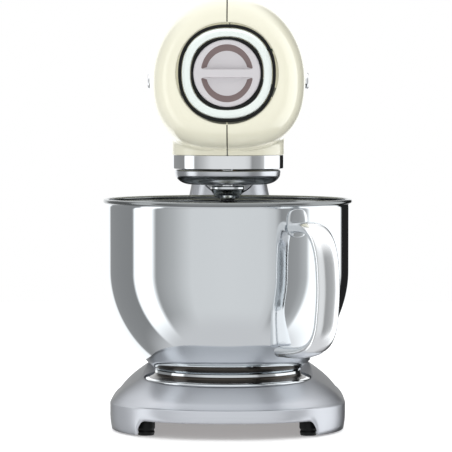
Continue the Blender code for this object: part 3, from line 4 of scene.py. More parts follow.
import bmesh
import bpy
import numpy as np
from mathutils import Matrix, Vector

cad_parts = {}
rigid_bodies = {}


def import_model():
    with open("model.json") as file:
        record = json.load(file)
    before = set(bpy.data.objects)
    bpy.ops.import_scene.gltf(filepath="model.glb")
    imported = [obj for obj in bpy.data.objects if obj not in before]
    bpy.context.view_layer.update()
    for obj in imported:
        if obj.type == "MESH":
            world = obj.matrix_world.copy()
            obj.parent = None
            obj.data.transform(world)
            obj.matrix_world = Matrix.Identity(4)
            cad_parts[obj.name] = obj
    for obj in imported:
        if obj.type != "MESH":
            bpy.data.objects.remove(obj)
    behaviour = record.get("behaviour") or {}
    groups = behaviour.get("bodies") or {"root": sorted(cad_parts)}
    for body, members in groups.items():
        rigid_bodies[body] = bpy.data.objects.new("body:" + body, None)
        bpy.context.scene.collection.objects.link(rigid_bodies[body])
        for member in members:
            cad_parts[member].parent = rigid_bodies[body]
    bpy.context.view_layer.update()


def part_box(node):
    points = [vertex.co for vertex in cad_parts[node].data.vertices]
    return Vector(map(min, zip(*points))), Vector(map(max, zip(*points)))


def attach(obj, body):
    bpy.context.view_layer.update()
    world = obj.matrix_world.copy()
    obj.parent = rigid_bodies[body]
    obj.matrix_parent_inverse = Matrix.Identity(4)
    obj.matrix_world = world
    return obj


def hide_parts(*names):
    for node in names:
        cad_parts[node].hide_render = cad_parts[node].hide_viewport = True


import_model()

bowl_low, bowl_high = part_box("bowl")
axis_y = (bowl_low[1] + bowl_high[1]) / 2      # the bowl's axis stands here, at x = 0
TURN = 2.0 * math.pi


# ---------------- camera
# A long lens straight in front of the mixer, a little above the rim of the bowl, pitched down
# a few degrees. It stands half a degree round to the right of the mixer's middle line.
camera_data = bpy.data.cameras.new("camera")
camera_data.sensor_width = 36.0
camera_data.lens = 244.5
camera = bpy.data.objects.new("camera", camera_data)
bpy.context.scene.collection.objects.link(camera)
camera_distance, camera_height = 2.671, 0.286
camera_turn, camera_pitch, camera_side = math.radians(0.5), math.radians(2.35), -0.0015
camera.location = (
    math.sin(camera_turn) * camera_distance + camera_side,
    axis_y - math.cos(camera_turn) * camera_distance,
    camera_height,
)
camera.rotation_euler = (math.pi / 2 - camera_pitch, 0.0, camera_turn)
bpy.context.scene.camera = camera
bpy.context.scene.view_settings.view_transform = "Standard"


# ---------------- studio
# A white light tent: broad white walls with grey and black boards standing between
# them, which is what polished steel shows. The ramp gives brightness round the horizon.
def settle(made, **settings):
    """Gives a shader node its settings; a key that names an input, with _ for a space, sets
    that input's value."""
    for key, value in settings.items():
        if hasattr(made, key):
            setattr(made, key, value)
        else:
            made.inputs[key.replace("_", " ")].default_value = value
    return made


def node(tree, kind, **settings):
    """A new shader node with those settings."""
    return settle(tree.nodes.new(kind), **settings)


def smooth_range(tree, start, end, **settings):
    """A node that eases from one value to the other as its input goes from start to end."""
    return node(tree, "ShaderNodeMapRange", interpolation_type="SMOOTHSTEP", From_Min=start,
                From_Max=end, **settings)


def blended(tree, **colours):
    """A node that mixes colour A into colour B."""
    return node(tree, "ShaderNodeMix", data_type="RGBA", **colours)


def link(tree, *path):
    """Joins output to input, for each (node, output, node, input) in turn."""
    for start, output, end, entry in path:
        tree.links.new(start.outputs[output], end.inputs[entry])


# degrees round from the camera, positive to the right, and brightness there
boards = (
    (-180, 1.25), (-150, 1.25), (-146, 0.34), (-101, 0.30), (-98, 1.55), (-76, 1.55), (-71, 0.40),
    (-52, 0.58), (-34, 0.84), (0, 0.86), (36, 0.84), (46, 0.72), (52, 0.34), (70, 0.42), (80, 0.62),
    (84, 1.5), (134, 1.5), (138, 0.02), (165, 0.02), (169, 1.25), (180, 1.25),
)
world = bpy.data.worlds.new("studio")
bpy.context.scene.world = world
world.use_nodes = True
sky = world.node_tree
sky.nodes.clear()
where = node(sky, "ShaderNodeTexCoord")
split = node(sky, "ShaderNodeSeparateXYZ")
front = node(sky, "ShaderNodeMath", operation="MULTIPLY")
front.inputs[1].default_value = -1.0
round_angle = node(sky, "ShaderNodeMath", operation="ARCTAN2")
round_share = node(sky, "ShaderNodeMapRange", From_Min=-math.pi, From_Max=math.pi)
ramp = node(sky, "ShaderNodeValToRGB")
ramp.color_ramp.elements.remove(ramp.color_ramp.elements[1])
for index, (degrees, bright) in enumerate(boards):
    share = degrees / 360.0 + 0.5
    stop = ramp.color_ramp.elements[0] if index == 0 else ramp.color_ramp.elements.new(share)
    stop.position = share
    stop.color = (bright * 0.985, bright * 0.995, bright, 1.0)
over = smooth_range(sky, 0.30, 0.80)
under = smooth_range(sky, -0.55, -0.85)
roof = blended(sky, B=(1.35, 1.35, 1.35, 1.0))
ground = blended(sky, B=(0.75, 0.75, 0.76, 1.0))
paths = node(sky, "ShaderNodeLightPath")
seen = blended(sky, B=(1.0, 1.0, 1.0, 1.0))
backdrop = node(sky, "ShaderNodeBackground")
sky_out = node(sky, "ShaderNodeOutputWorld")
link(
    sky,
    (where, "Generated", split, "Vector"), (split, "Y", front, 0), (split, "X", round_angle, 0),
    (front, 0, round_angle, 1), (round_angle, 0, round_share, "Value"),
    (round_share, "Result", ramp, "Fac"), (split, "Z", over, "Value"), (split, "Z", under, "Value"),
    (over, "Result", roof, "Factor"), (ramp, "Color", roof, "A"),
    (under, "Result", ground, "Factor"), (roof, "Result", ground, "A"),
    (paths, "Is Camera Ray", seen, "Factor"), (ground, "Result", seen, "A"),
    (seen, "Result", backdrop, "Color"), (backdrop, "Background", sky_out, "Surface"),
)


# ---------------- floor
# A wide white table top. It glows a little, so that it reads as white right out to its edge
# and only the contact shadow under the mixer is left on it.
def surface(name, points, wrap_u=False, wrap_v=False, sharp=35.0):
    """A skin over points[i, j]: neighbours are joined in quads, the last row or column to the
    first where it wraps, points that coincide are merged, and the faces are turned outwards."""
    rows, columns = points.shape[:2]
    i = np.arange(rows if wrap_u else rows - 1)[:, None]
    j = np.arange(columns if wrap_v else columns - 1)[None, :]
    after_i, after_j = (i + 1) % rows, (j + 1) % columns
    corners = (i * columns + j, i * columns + after_j, after_i * columns + after_j,
               after_i * columns + j)
    quads = np.stack(np.broadcast_arrays(*corners), axis=-1).reshape(-1, 4)
    return solid(name, points.reshape(-1, 3), quads, sharp)


def solid(name, points, faces, sharp=35.0):
    """An object of these points and faces, welded, facing outwards and shaded smooth."""
    mesh = bpy.data.meshes.new(name)
    mesh.from_pydata(points.tolist(), [], faces.tolist())
    weld = bmesh.new()
    weld.from_mesh(mesh)
    bmesh.ops.remove_doubles(weld, verts=weld.verts, dist=0.000002)
    bmesh.ops.dissolve_degenerate(weld, edges=weld.edges, dist=0.0000005)
    bmesh.ops.recalc_face_normals(weld, faces=weld.faces)
    weld.to_mesh(mesh)
    weld.free()
    obj = bpy.data.objects.new(name, mesh)
    bpy.context.scene.collection.objects.link(obj)
    shade(obj, sharp)
    return obj


def shade(obj, sharp=35.0):
    """Smooth shading, with edges sharper than that many degrees left crisp."""
    obj.data.shade_smooth()
    obj.data.set_sharp_from_angle(angle=math.radians(sharp))


def axes(out):
    """Two directions square to out, the second as near upright as it can be."""
    out = np.array(out, float)
    up = np.array((0.0, 1.0, 0.0)) if abs(out[2]) > 0.5 else np.array((0.0, 0.0, 1.0))
    return np.cross(up, out), up, out


def round_steps(count):
    """That many angles, evenly spaced once round."""
    return np.linspace(0.0, TURN, count, endpoint=False)


def turned(name, profile, centre=(0.0, 0.0, 0.0), out=(0.0, 0.0, 1.0), closed=False,
           segments=192, power=2.0, sharp=35.0):
    """A profile of (radius, height) rows carried once round the line through centre along out.
    A power over 2, for all rows or one for each, squares the round: the radius is divided by
    (|cos|^p + |sin|^p)^(1/p)."""
    across, up, out = axes(out)
    angle = round_steps(segments)
    cos, sin = np.cos(angle), np.sin(angle)
    profile = np.array(profile, float)
    power = np.broadcast_to(np.array(power, float), len(profile))[:, None]
    reach = (np.abs(cos) ** power + np.abs(sin) ** power) ** (-1.0 / power)
    radius, height = profile[:, 0, None, None], profile[:, 1, None, None]
    around = (reach * cos)[..., None] * across + (reach * sin)[..., None] * up
    return surface(name, np.array(centre) + radius * around + height * out,
                   wrap_u=closed, wrap_v=True, sharp=sharp)


def softened(corners, radius, closed=False, steps=6):
    """The corners with each inner one rounded: a parabola leaves one side and joins the next,
    radius away from the corner, or as far as just under half of the shorter side."""
    corners = np.array(corners, float)
    before, after = np.roll(corners, 1, axis=0), np.roll(corners, -1, axis=0)
    to_before, to_after = before - corners, after - corners
    length_before = np.linalg.norm(to_before, axis=1, keepdims=True)
    length_after = np.linalg.norm(to_after, axis=1, keepdims=True)
    radius = np.broadcast_to(np.array(radius, float), len(corners))[:, None]
    step = np.minimum(radius, 0.49 * np.minimum(length_before, length_after))
    start = corners + to_before / length_before * step
    end = corners + to_after / length_after * step
    s = np.linspace(0.0, 1.0, steps)[None, :, None]
    arc = (1 - s) ** 2 * start[:, None] + 2 * s * (1 - s) * corners[:, None] + s ** 2 * end[:, None]
    if closed:
        return arc.reshape(-1, 2)
    return np.concatenate([corners[:1], arc[1:-1].reshape(-1, 2), corners[-1:]])


def linear(red, green, blue):
    """A paint chart colour, 0 to 255, as the linear value a shader takes."""
    share = np.array((red, green, blue)) / 255.0
    value = np.where(share <= 0.04045, share / 12.92, ((share + 0.055) / 1.055) ** 2.4)
    return (*value.tolist(), 1.0)


def finish(name, colour, roughness, metallic=0.0, grain=900.0, stretch=(1.0, 1.0, 1.0), tone=0.03,
           gloss=0.05, relief=0.0, coat=0.0, specular=0.5, flop=1.0, painted_glow=0.0):
    """A finish for one kind of surface. A fine grain, drawn out along the brushing where the
    piece is brushed, shifts its tone and lifts it by relief metres; broad, faint smudges shift
    its roughness by gloss. Metal flake goes darker by flop where it is seen edge on, coat is a
    clear lacquer, and glow is emission: painted light that lifts the surface's shaded parts."""
    colour = linear(*colour)

    def shaded(share):
        return (*(min(1.0, channel * share) for channel in colour[:3]), 1.0)

    made = bpy.data.materials.new(name)
    made.use_nodes = True
    tree = made.node_tree
    shader = settle(
        tree.nodes["Principled BSDF"], Metallic=metallic, Coat_Weight=coat, Coat_Roughness=0.06,
        Specular_IOR_Level=specular, Specular_Tint=(flop, flop, flop, 1.0), Emission_Color=colour,
        Emission_Strength=painted_glow)
    place = node(tree, "ShaderNodeTexCoord")
    drawn = node(tree, "ShaderNodeMapping", Scale=stretch)
    fine = node(tree, "ShaderNodeTexNoise", Scale=grain, Detail=3.0, Roughness=0.55)
    broad = node(tree, "ShaderNodeTexNoise", Scale=14.0, Detail=2.0, Roughness=0.5)
    tint = blended(tree, A=shaded(1.0 - tone), B=shaded(1.0 + tone))
    sheen = smooth_range(tree, 0.15, 0.85, To_Min=max(0.0, roughness - gloss), To_Max=roughness + gloss)
    weight = node(tree, "ShaderNodeLayerWeight", Blend=0.5)
    edge_on = smooth_range(tree, 0.62, 0.97)
    edged = blended(tree, B=shaded(flop))
    bump = node(tree, "ShaderNodeBump", Distance=max(relief, 0.0000001), Strength=1.0)
    link(
        tree,
        (place, "Object", drawn, "Vector"), (drawn, "Vector", fine, "Vector"),
        (place, "Object", broad, "Vector"), (fine, "Fac", tint, "Factor"),
        (tint, "Result", edged, "A"), (edge_on, "Result", edged, "Factor"),
        (weight, "Facing", edge_on, "Value"),
        (edged, "Result", shader, "Base Color"), (broad, "Fac", sheen, "Value"),
        (sheen, "Result", shader, "Roughness"), (fine, "Fac", bump, "Height"),
        (bump, "Normal", shader, "Normal"),
    )
    return made


def dress(obj, material, body, *nodes, slot=None):
    """Gives a piece its material, hangs it on its body, and hides the CAD nodes that it stands
    for. The slot argument is not used."""
    obj.data.materials.clear()
    obj.data.materials.append(material)
    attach(obj, body)
    if nodes:
        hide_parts(*nodes)


floor_radius = 1.6
floor = turned("table_top", [(0.0, 0.0), (0.35, 0.0), (0.7, 0.0), (floor_radius, 0.0),
                             (floor_radius, -0.01), (0.0, -0.01)], segments=96)
table_white = finish("table_white", (250, 250, 250), 0.6, grain=60.0, tone=0.005)
settle(table_white.node_tree.nodes["Principled BSDF"], Emission_Color=(1.0, 1.0, 1.0, 1.0),
       Emission_Strength=0.30)
floor.data.materials.append(table_white)
floor.visible_glossy = False


# ---------------- base
# A die-cast foot plate, hollow below, sprayed with a fine silver metallic paint: an upright
# skirt, a crease, a sloping shoulder and a nearly flat top with a round well for the bowl.
base_low, base_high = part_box("base_casting")
base_half = base_high[0]
base_front = axis_y - base_low[1]
base_rear = base_high[1] - axis_y
base_top = base_high[2]
crease_z, lip_z, top_half = 0.0253, base_low[2], 0.0745
well_radius, well_floor = 0.0730, 0.0415
base_tilt, tilt_from, base_skin = 0.040, 0.0900, 0.0032
arch_half, arch_height, arch_ease = 0.0775, 0.0125, 0.0085
base_fall = base_half - top_half


def bezier(ends, count):
    """A cubic curve through the first and last rows of ends, pulled by the two between."""
    t = np.linspace(0.0, 1.0, count)[:, None]
    first, second, third, last = np.array(ends, float)
    return ((1 - t) ** 3 * first + 3 * t * (1 - t) ** 2 * second
            + 3 * t ** 2 * (1 - t) * third + t ** 3 * last)


def powered(value, power):
    """The value's size raised to that power, with its sign kept."""
    return np.sign(value) * np.abs(value) ** power


def oval(half, front, rear, power_front, power_rear, turn):
    """Points at those turns round a superellipse with its own reach and power ahead and behind;
    the arguments but turn are columns, one row each."""
    cos, sin = np.cos(turn), np.sin(turn)
    power = np.where(cos > 0, power_front, power_rear)
    reach = np.where(cos > 0, front, rear)
    return half * powered(sin, 2.0 / power), -reach * powered(cos, 2.0 / power)


base_section = np.concatenate([
    softened([(0.0013, lip_z), (0.0, 0.010), (0.0, crease_z - 0.0012), (0.0022, crease_z + 0.0004),
              (0.0060, crease_z + 0.0050)], (0.0, 0.004, 0.0009, 0.0010, 0.0), steps=8),
    bezier([(0.0060, crease_z + 0.0050), (0.0100, crease_z + 0.0105), (0.0180, crease_z + 0.0170),
            (base_fall, base_top)], 26)[1:],
])
inset, height = base_section[:, 0, None], base_section[:, 1, None]
turn = round_steps(720)[None, :]
share = inset / base_fall
x, y = oval(base_half - inset, base_front - 1.06 * inset, base_rear - 0.62 * inset,
            2.25 - 0.25 * share, 3.0 - 0.2 * share, turn)
sunk = np.clip((height - crease_z) / (base_top - crease_z), 0.0, 1.0)
z = height + sunk * base_tilt * np.minimum(y - tilt_from, 0.0)
# The front of the skirt is arched: its lower edge rises in a smooth step inside each corner.
step = np.clip((arch_half - np.abs(x)) / arch_ease, 0.0, 1.0)
rise = np.where(y < 0, arch_height * (1.0 - (1.0 - step) ** 2.6), 0.0) * np.clip(-y / 0.03, 0, 1)
z = np.where(height < crease_z, z + rise * (crease_z - height) / (crease_z - lip_z), z)
skirt = np.stack([x, y, z], axis=-1)
across = np.linspace(0.0, 1.0, 13)[1:, None, None]
well_edge = np.stack([well_radius * np.sin(turn[0]), -well_radius * np.cos(turn[0])], axis=-1)
flat = skirt[-1, None, :, :2] * (1 - across) + well_edge[None] * across
flat_z = base_top + base_tilt * np.minimum(flat[..., 1:] - tilt_from, 0.0)
flat = np.concatenate([flat, flat_z], axis=-1)
well = softened([(well_radius, 0.0), (well_radius - 0.0004, -0.4), (well_radius - 0.0004, -1.0),
                 (0.0, -1.0)], (0.0, 0.0003, 0.001, 0.0), steps=4)
drop = flat[-1, None, :, 2] + well[1:, 1, None] * (flat[-1, None, :, 2] - well_floor)
well_grid = np.stack([well[1:, 0, None] * np.sin(turn), -well[1:, 0, None] * np.cos(turn), drop], -1)
base_grid = np.concatenate([skirt, flat, well_grid])
base_grid[..., 1] += axis_y
base = surface("base_casting_shell", base_grid, wrap_v=True, sharp=40.0)


def thicken(obj, depth, inner=0):
    """Gives a skin a wall of that depth on its inner side; inner picks the inside's material."""
    wall = obj.modifiers.new("wall", "SOLIDIFY")
    wall.thickness = depth
    wall.offset = -1.0
    wall.material_offset = inner


thicken(base, base_skin, inner=1)
silver_paint = finish("silver_paint", (204, 207, 213), 0.30, metallic=0.62, grain=5200.0,
                      tone=0.05, gloss=0.0, relief=0.000008, specular=0.2, flop=0.25)
dress(base, silver_paint, "stand", "base_casting", slot="silver_paint")
# The inside of the base is coloured dark brown-grey: painted shade for the hollow seen under the front
# arch.
base.data.materials.append(finish("grey_primer", (94, 80, 78), 0.7, grain=700.0, tone=0.06,
                                  relief=0.00005))


# ---------------- feet
# Four moulded rubber feet pressed into the underside, ribbed round the side, with a shallow
# dished sole.
rubber = finish("black_rubber", (17, 19, 19), 0.50, grain=1500.0, tone=0.15, gloss=0.08,
                relief=0.00004, specular=0.22)
foot_share = 0.70                              # of the radius of the room that a foot has
for label in ("front_left", "front_right", "rear_left", "rear_right"):
    low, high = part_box("foot_" + label)
    seat, top = (high[0] - low[0]) / 2, high[2]
    radius = foot_share * seat
    outwards = math.copysign(seat - radius, low[0])
    middle = ((low[0] + high[0]) / 2 + outwards, (low[1] + high[1]) / 2, 0.0)
    profile = softened([
        (0.0, 0.0009), (radius * 0.62, 0.0009), (radius * 0.72, 0.0), (radius - 0.0010, 0.0),
        (radius - 0.0002, 0.0030), (radius - 0.0009, 0.0042), (radius - 0.0009, 0.0050),
        (radius, 0.0060), (radius, top), (0.0, top),
    ], 0.0007)
    foot = turned("rubber_foot_" + label, profile, centre=middle, segments=96)
    dress(foot, rubber, "stand", "foot_" + label, slot="black_rubber")


# ---------------- column
# The hollow cast column that is screwed down behind the bowl, flared at its foot, with the
# round hinge knuckle on top and a half-round saddle in front of it for the head's keel.
column_low, column_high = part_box("column")
hinge_low, hinge_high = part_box("hinge_pin")
hinge_y = (hinge_low[1] + hinge_high[1]) / 2
hinge_z = (hinge_low[2] + hinge_high[2]) / 2
column_foot_z, column_top_z = column_low[2], 0.2360
column_foot_half, column_top_half = column_high[0], 0.0310
knuckle_radius = column_high[2] - hinge_z
keel_low, keel_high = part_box("head_keel")
saddle_radius, saddle_z = keel_high[0] + 0.0010, 0.2276
bolt_low, bolt_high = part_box("latch_bolt")
knob_low, knob_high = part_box("release_knob")
latch_z = (bolt_low[2] + bolt_high[2]) / 2
column_tall, heel, flare_from = column_top_z - column_foot_z, 0.0035, 0.014
rise = np.concatenate([[0.0], heel + np.linspace(0, 1, 90) ** 1.3 * (column_tall - heel)])
share = np.clip((rise - flare_from) / (column_tall - flare_from), 0.0, 1.0)[:, None]
waist = (1.0 - share) ** 1.35
half = column_top_half + (column_foot_half - column_top_half) * waist
front = hinge_y - 0.0770 - 0.0310 * waist
rear = hinge_y + 0.0260 + 0.0360 * (1.0 - share) ** 2.2
edge = np.where(rise[:, None] < 0.001, 0.0008, 0.0)
turn = round_steps(200)[None, :]
x, y = oval(half - edge, (rear - front) / 2 - edge, (rear - front) / 2 - edge, 3.2, 3.2, turn)
y = y + (front + rear) / 2
z = column_foot_z + np.broadcast_to(rise[:, None], x.shape)


def pointed(grid):
    """The grid with a row added at each end, all of it at the middle of that end's row."""
    first, last = (np.repeat(row.mean(axis=0)[None, None], len(row), axis=1)
                   for row in (grid[0], grid[-1]))
    return np.concatenate([first, grid, last])


column = surface("column_casting", pointed(np.stack([x, y, z], axis=-1)), wrap_v=True, sharp=40.0)


def combine(piece, other, operation):
    """The piece with the other solid cut away or added; the other one is used up."""
    change = piece.modifiers.new("change", "BOOLEAN")
    change.operation = operation
    change.object = other
    bpy.context.view_layer.update()
    changed = piece.evaluated_get(bpy.context.evaluated_depsgraph_get())
    made = bpy.data.meshes.new_from_object(changed)
    piece.modifiers.clear()
    piece.data = made
    bpy.data.objects.remove(other)
    shade(piece)


knuckle_half = column_top_half - 0.0004
angle = np.linspace(0.0, math.pi, 60)
outline = np.stack([knuckle_radius * np.cos(angle), knuckle_radius * np.sin(angle)], axis=-1)
outline = np.concatenate([outline, [(-knuckle_radius, -0.0380), (knuckle_radius * 0.8, -0.0380)]])
outline = outline + (hinge_y, hinge_z)


def extruded(name, outline, low, high, edge=0.0006):
    """A flat outline of (y, z) rows carried along X between two places, its rims eased by edge;
    each end is a fan to the outline's middle."""
    middle = outline.mean(axis=0)
    inner = middle + (outline - middle) * (1.0 - edge / np.abs(outline - middle).max())
    point = np.repeat(middle[None], len(outline), axis=0)
    rings = [(low, point), (low, inner), (low + edge, outline), (high - edge, outline), (high, inner),
             (high, point)]
    grid = [np.concatenate([np.full((len(outline), 1), at), ring], axis=1) for at, ring in rings]
    return surface(name, np.array(grid), wrap_v=True, sharp=40.0)


combine(column, extruded("knuckle", outline, -knuckle_half, knuckle_half), "UNION")
forward, backward = (0.0, -1.0, 0.0), (0.0, 1.0, 0.0)
saddle_rear = bolt_low[1] + 0.0004


def bored(piece, name, profile, y, z, out=backward, segments=72):
    """Turns a cutter of that profile round the line from (0, y, z) along out, and takes it away
    from the piece."""
    cutter = turned(name, profile, centre=(0.0, y, z), out=out, segments=segments)
    combine(piece, cutter, "DIFFERENCE")


bored(column, "saddle", [(0.0, 0.0), (saddle_radius, 0.0), (saddle_radius, 0.08), (0.0, 0.08)],
      saddle_rear, saddle_z, out=forward, segments=192)
lid = np.array([(saddle_rear - 0.08, saddle_z), (saddle_rear, saddle_z), (saddle_rear, 0.25),
                (saddle_rear - 0.08, 0.25)])
combine(column, extruded("saddle_top", lid, -saddle_radius, saddle_radius), "DIFFERENCE")
tunnel_radius, tunnel_deep, pocket_radius = 0.0050, 0.0476, knob_high[0] + 0.0010
bored(column, "tunnel", [(0.0, -0.01), (tunnel_radius, -0.01), (tunnel_radius, tunnel_deep),
                         (pocket_radius, tunnel_deep), (pocket_radius, 0.12), (0.0, 0.12)],
      saddle_rear, latch_z, segments=96)
gland_low, gland_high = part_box("cord_gland")
gland_z, gland_radius = (gland_low[2] + gland_high[2]) / 2, 0.0063
bored(column, "inlet", [(0.0, -0.02), (gland_radius, -0.02), (gland_radius, 0.04), (0.0, 0.04)],
      gland_low[1], gland_z)
dress(column, silver_paint, "stand", "column", slot="silver_paint")


# ---------------- cord gland
# A soft rubber bush with a flange, pushed into the hole at the column's heel where the supply
# lead passes.
flange = (gland_high[0] - gland_low[0]) / 2
gland_out = gland_high[1] - gland_low[1]
gland = turned("supply_gland", softened([
    (0.0036, 0.0), (0.0058, 0.0), (0.0058, gland_out - 0.0030), (flange, gland_out - 0.0030),
    (flange, gland_out - 0.0014), (0.0062, gland_out - 0.0012), (0.0058, gland_out),
    (0.0038, gland_out), (0.0036, gland_out - 0.0010)], 0.0004, closed=True),
    centre=(0.0, gland_low[1], gland_z), out=backward, closed=True, segments=96)
dress(gland, rubber, "stand", "cord_gland", slot="black_rubber")


# ---------------- tilt release
# A turned and chromed knob with a knurled grip on the end of the latch bolt, behind the column.
chrome = finish("chrome", (232, 234, 236), 0.05, metallic=1.0, grain=1200.0, tone=0.01,
                gloss=0.02, relief=0.000002)
knob_radius, knob_length = knob_high[0], knob_high[1] - knob_low[1]
knob_profile = softened([
    (0.0, 0.0), (0.0040, 0.0), (knob_radius - 0.0004, 0.0006), (knob_radius - 0.0004, 0.0108),
    (knob_radius - 0.0016, 0.0122), (knob_radius - 0.0016, 0.0134), (knob_radius, 0.0146),
    (knob_radius - 0.0008, knob_length - 0.0006), (0.0052, knob_length), (0.0, knob_length)], 0.0006)
knob = turned("tilt_release_knob", knob_profile, centre=(0.0, knob_low[1], latch_z),
              out=backward, segments=144)


def gathered(items, what):
    """That vector of every vertex or face, one row each."""
    values = np.empty(len(items) * 3)
    items.foreach_get(what, values)
    return values.reshape(-1, 3)


knob_mesh = gathered(knob.data.vertices, "co")
out_x, out_z = knob_mesh[:, 0], knob_mesh[:, 2] - latch_z
along = knob_mesh[:, 1] - knob_low[1]
reach = np.hypot(out_x, out_z)
# Knurling: shallow flutes where the profile is at its full radius.
flutes, flute_deep = 36, 0.0003
fluted = (reach > knob_radius - 0.0006) & (along > 0.001) & (along < 0.0108)
wave = 0.5 - 0.5 * np.cos(flutes * np.arctan2(out_z, out_x))
depth = np.where(fluted, flute_deep * wave, 0.0)
keep = 1.0 - depth / np.maximum(reach, 1e-6)
knob_mesh[:, 0] *= keep
knob_mesh[:, 2] = latch_z + out_z * keep
knob.data.vertices.foreach_set("co", knob_mesh.ravel())
dress(knob, chrome, "latch", "release_knob", slot="chrome")


# ---------------- bowl
# Spun from one sheet of stainless steel, polished to a mirror, with its edge rolled outwards
# over a wire and the wall curving under to a flat floor.
bowl_radius, bowl_wall = 0.1056, 0.0012
rim_radius = bowl_high[0]
roll = bowl_high[2] - 0.1983                   # radius of the rolled edge
rim_z = bowl_high[2] - roll
floor_z, wall_foot_z = bowl_low[2], 0.1378     # the wall is straight above the second
wall_curve = bezier([(bowl_radius, wall_foot_z), (bowl_radius, 0.1035), (0.0868, floor_z + 0.0182),
                     (0.0620, floor_z)], 64)
bend = np.linspace(1.15 * math.pi, -0.5 * math.pi, 28)
rim_roll = np.stack([rim_radius - roll + roll * np.cos(bend), rim_z + roll * np.sin(bend)], axis=-1)
neck_run = np.linspace(1.0, 0.0, 6)[1:, None] * ((rim_radius - roll) - bowl_radius, 0.0)
neck_z = np.linspace(rim_z - roll - 0.0002, rim_z - roll - 0.0016, 5)
neck_run = neck_run + np.stack([np.full(5, bowl_radius), neck_z], axis=-1)
straight_z = np.linspace(rim_z - roll - 0.003, wall_foot_z, 8)
straight = np.stack([np.full(8, bowl_radius), straight_z], axis=-1)
floor_run = np.stack([np.linspace(0.0615, 0.0, 12), np.full(12, floor_z)], axis=-1)
outside = np.concatenate([straight, wall_curve[1:]])


def headings(path):
    """The unit direction of a path at each of its rows."""
    step = np.gradient(path, axis=0)
    return step / np.linalg.norm(step, axis=1, keepdims=True)


along = headings(outside)
inside = outside + bowl_wall * np.stack([along[:, 1], -along[:, 0]], axis=-1)
inside_floor = np.stack([np.linspace(0.0600, 0.0, 12), np.full(12, floor_z + bowl_wall)], axis=-1)
inside = np.concatenate([inside, inside_floor])[::-1]
inside_top = [(bowl_radius - bowl_wall, rim_z - roll - 0.0005),
              (bowl_radius - bowl_wall * 0.4, rim_z - 0.0012)]
bowl_profile = np.concatenate([rim_roll, neck_run, outside, floor_run, inside, inside_top])
steel = finish("polished_steel", (218, 222, 225), 0.045, metallic=1.0, grain=260.0,
               stretch=(1.0, 1.0, 9.0), tone=0.012, gloss=0.02, relief=0.0000015)
bowl = turned("bowl_shell", bowl_profile, centre=(0.0, axis_y, 0.0), closed=True, segments=288)
dress(bowl, steel, "bowl", "bowl", slot="polished_steel")


def part_finish(obj, material, chosen):
    """Gives the chosen faces of a dressed piece a second material."""
    obj.data.materials.append(material)
    obj.data.polygons.foreach_set("material_index", chosen.astype(np.int32))


# The inside and the rolled rim are brushed round and look darker than the mirror outside.
spots = gathered(bowl.data.polygons, "center")
from_axis = np.hypot(spots[:, 0], spots[:, 1] - axis_y)
wall_reach = np.interp(spots[:, 2], wall_curve[::-1, 1], wall_curve[::-1, 0])
within = (spots[:, 2] > 0.08) & (from_axis < wall_reach - bowl_wall / 2)
brushed_steel = finish("brushed_steel", (136, 139, 140), 0.15, metallic=1.0, grain=320.0,
                       stretch=(1.0, 1.0, 12.0), tone=0.05, gloss=0.03, relief=0.000002)
part_finish(bowl, brushed_steel, within | (spots[:, 2] > rim_z - roll * 0.9))


# ---------------- bowl foot
# A flared steel collar welded under the bowl. It drops into the base's well, and three lugs
# pressed inwards at its lip turn under the lock plate.
foot_low, foot_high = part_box("bowl_foot_ring")
foot_radius, foot_z, foot_top = foot_high[0], foot_low[2], foot_high[2]
flare = bezier([(0.0636, foot_top), (0.0630, foot_top - 0.0050), (0.0650, foot_z + 0.0042),
                (0.0700, foot_z + 0.0026)], 20)
lip_bend = np.linspace(0.5 * math.pi, -0.5 * math.pi, 10)
lip_half = 0.0013
lip = np.stack([foot_radius - lip_half + lip_half * np.cos(lip_bend),
                foot_z + lip_half + lip_half * np.sin(lip_bend)], axis=-1)
foot_inside = [(0.0690, foot_z), (0.0640, foot_z + 0.0018), (0.0618, foot_z + 0.0046),
               (0.0610, foot_z + 0.0074), (0.0612, foot_top)]
bowl_foot = turned("bowl_foot_collar", np.concatenate([flare, lip, foot_inside]),
                   centre=(0.0, axis_y, 0.0), closed=True, segments=288)
dress(bowl_foot, steel, "bowl", "bowl_foot_ring", slot="polished_steel")
# The hollow of the flare takes a dark steel finish: painted shade and painted dark reflection in the
# concave band.
spots = gathered(bowl_foot.data.polygons, "center")
pressed_steel = finish("pressed_steel", (66, 62, 58), 0.22, metallic=1.0, grain=500.0,
                       stretch=(1.0, 1.0, 6.0), tone=0.10, relief=0.000004)
part_finish(bowl_foot, pressed_steel,
            (spots[:, 2] > foot_z + 0.0030) & (spots[:, 2] < foot_top - 0.0022))
lug_width, lug_reach, lug_deep, lug_thick = 0.0100, 0.0575, 0.0062, 0.0010
s, t = np.meshgrid(np.linspace(-1, 1, 15), round_steps(20), indexing="ij")
taper = 1 - 0.85 * np.abs(s) ** 8
wide = lug_width * s
reach = lug_reach + lug_deep * np.cos(t) * taper
lift = foot_z + 0.0014 + lug_thick * np.sin(t) * taper
for index in range(3):
    around = TURN * index / 3
    lug_x = wide * math.cos(around) - reach * math.sin(around)
    lug_y = axis_y - wide * math.sin(around) - reach * math.cos(around)
    lug = surface("bowl_lug_%d" % (index + 1), pointed(np.stack([lug_x, lug_y, lift], axis=-1)),
                  wrap_v=True)
    dress(lug, steel, "bowl", slot="polished_steel")


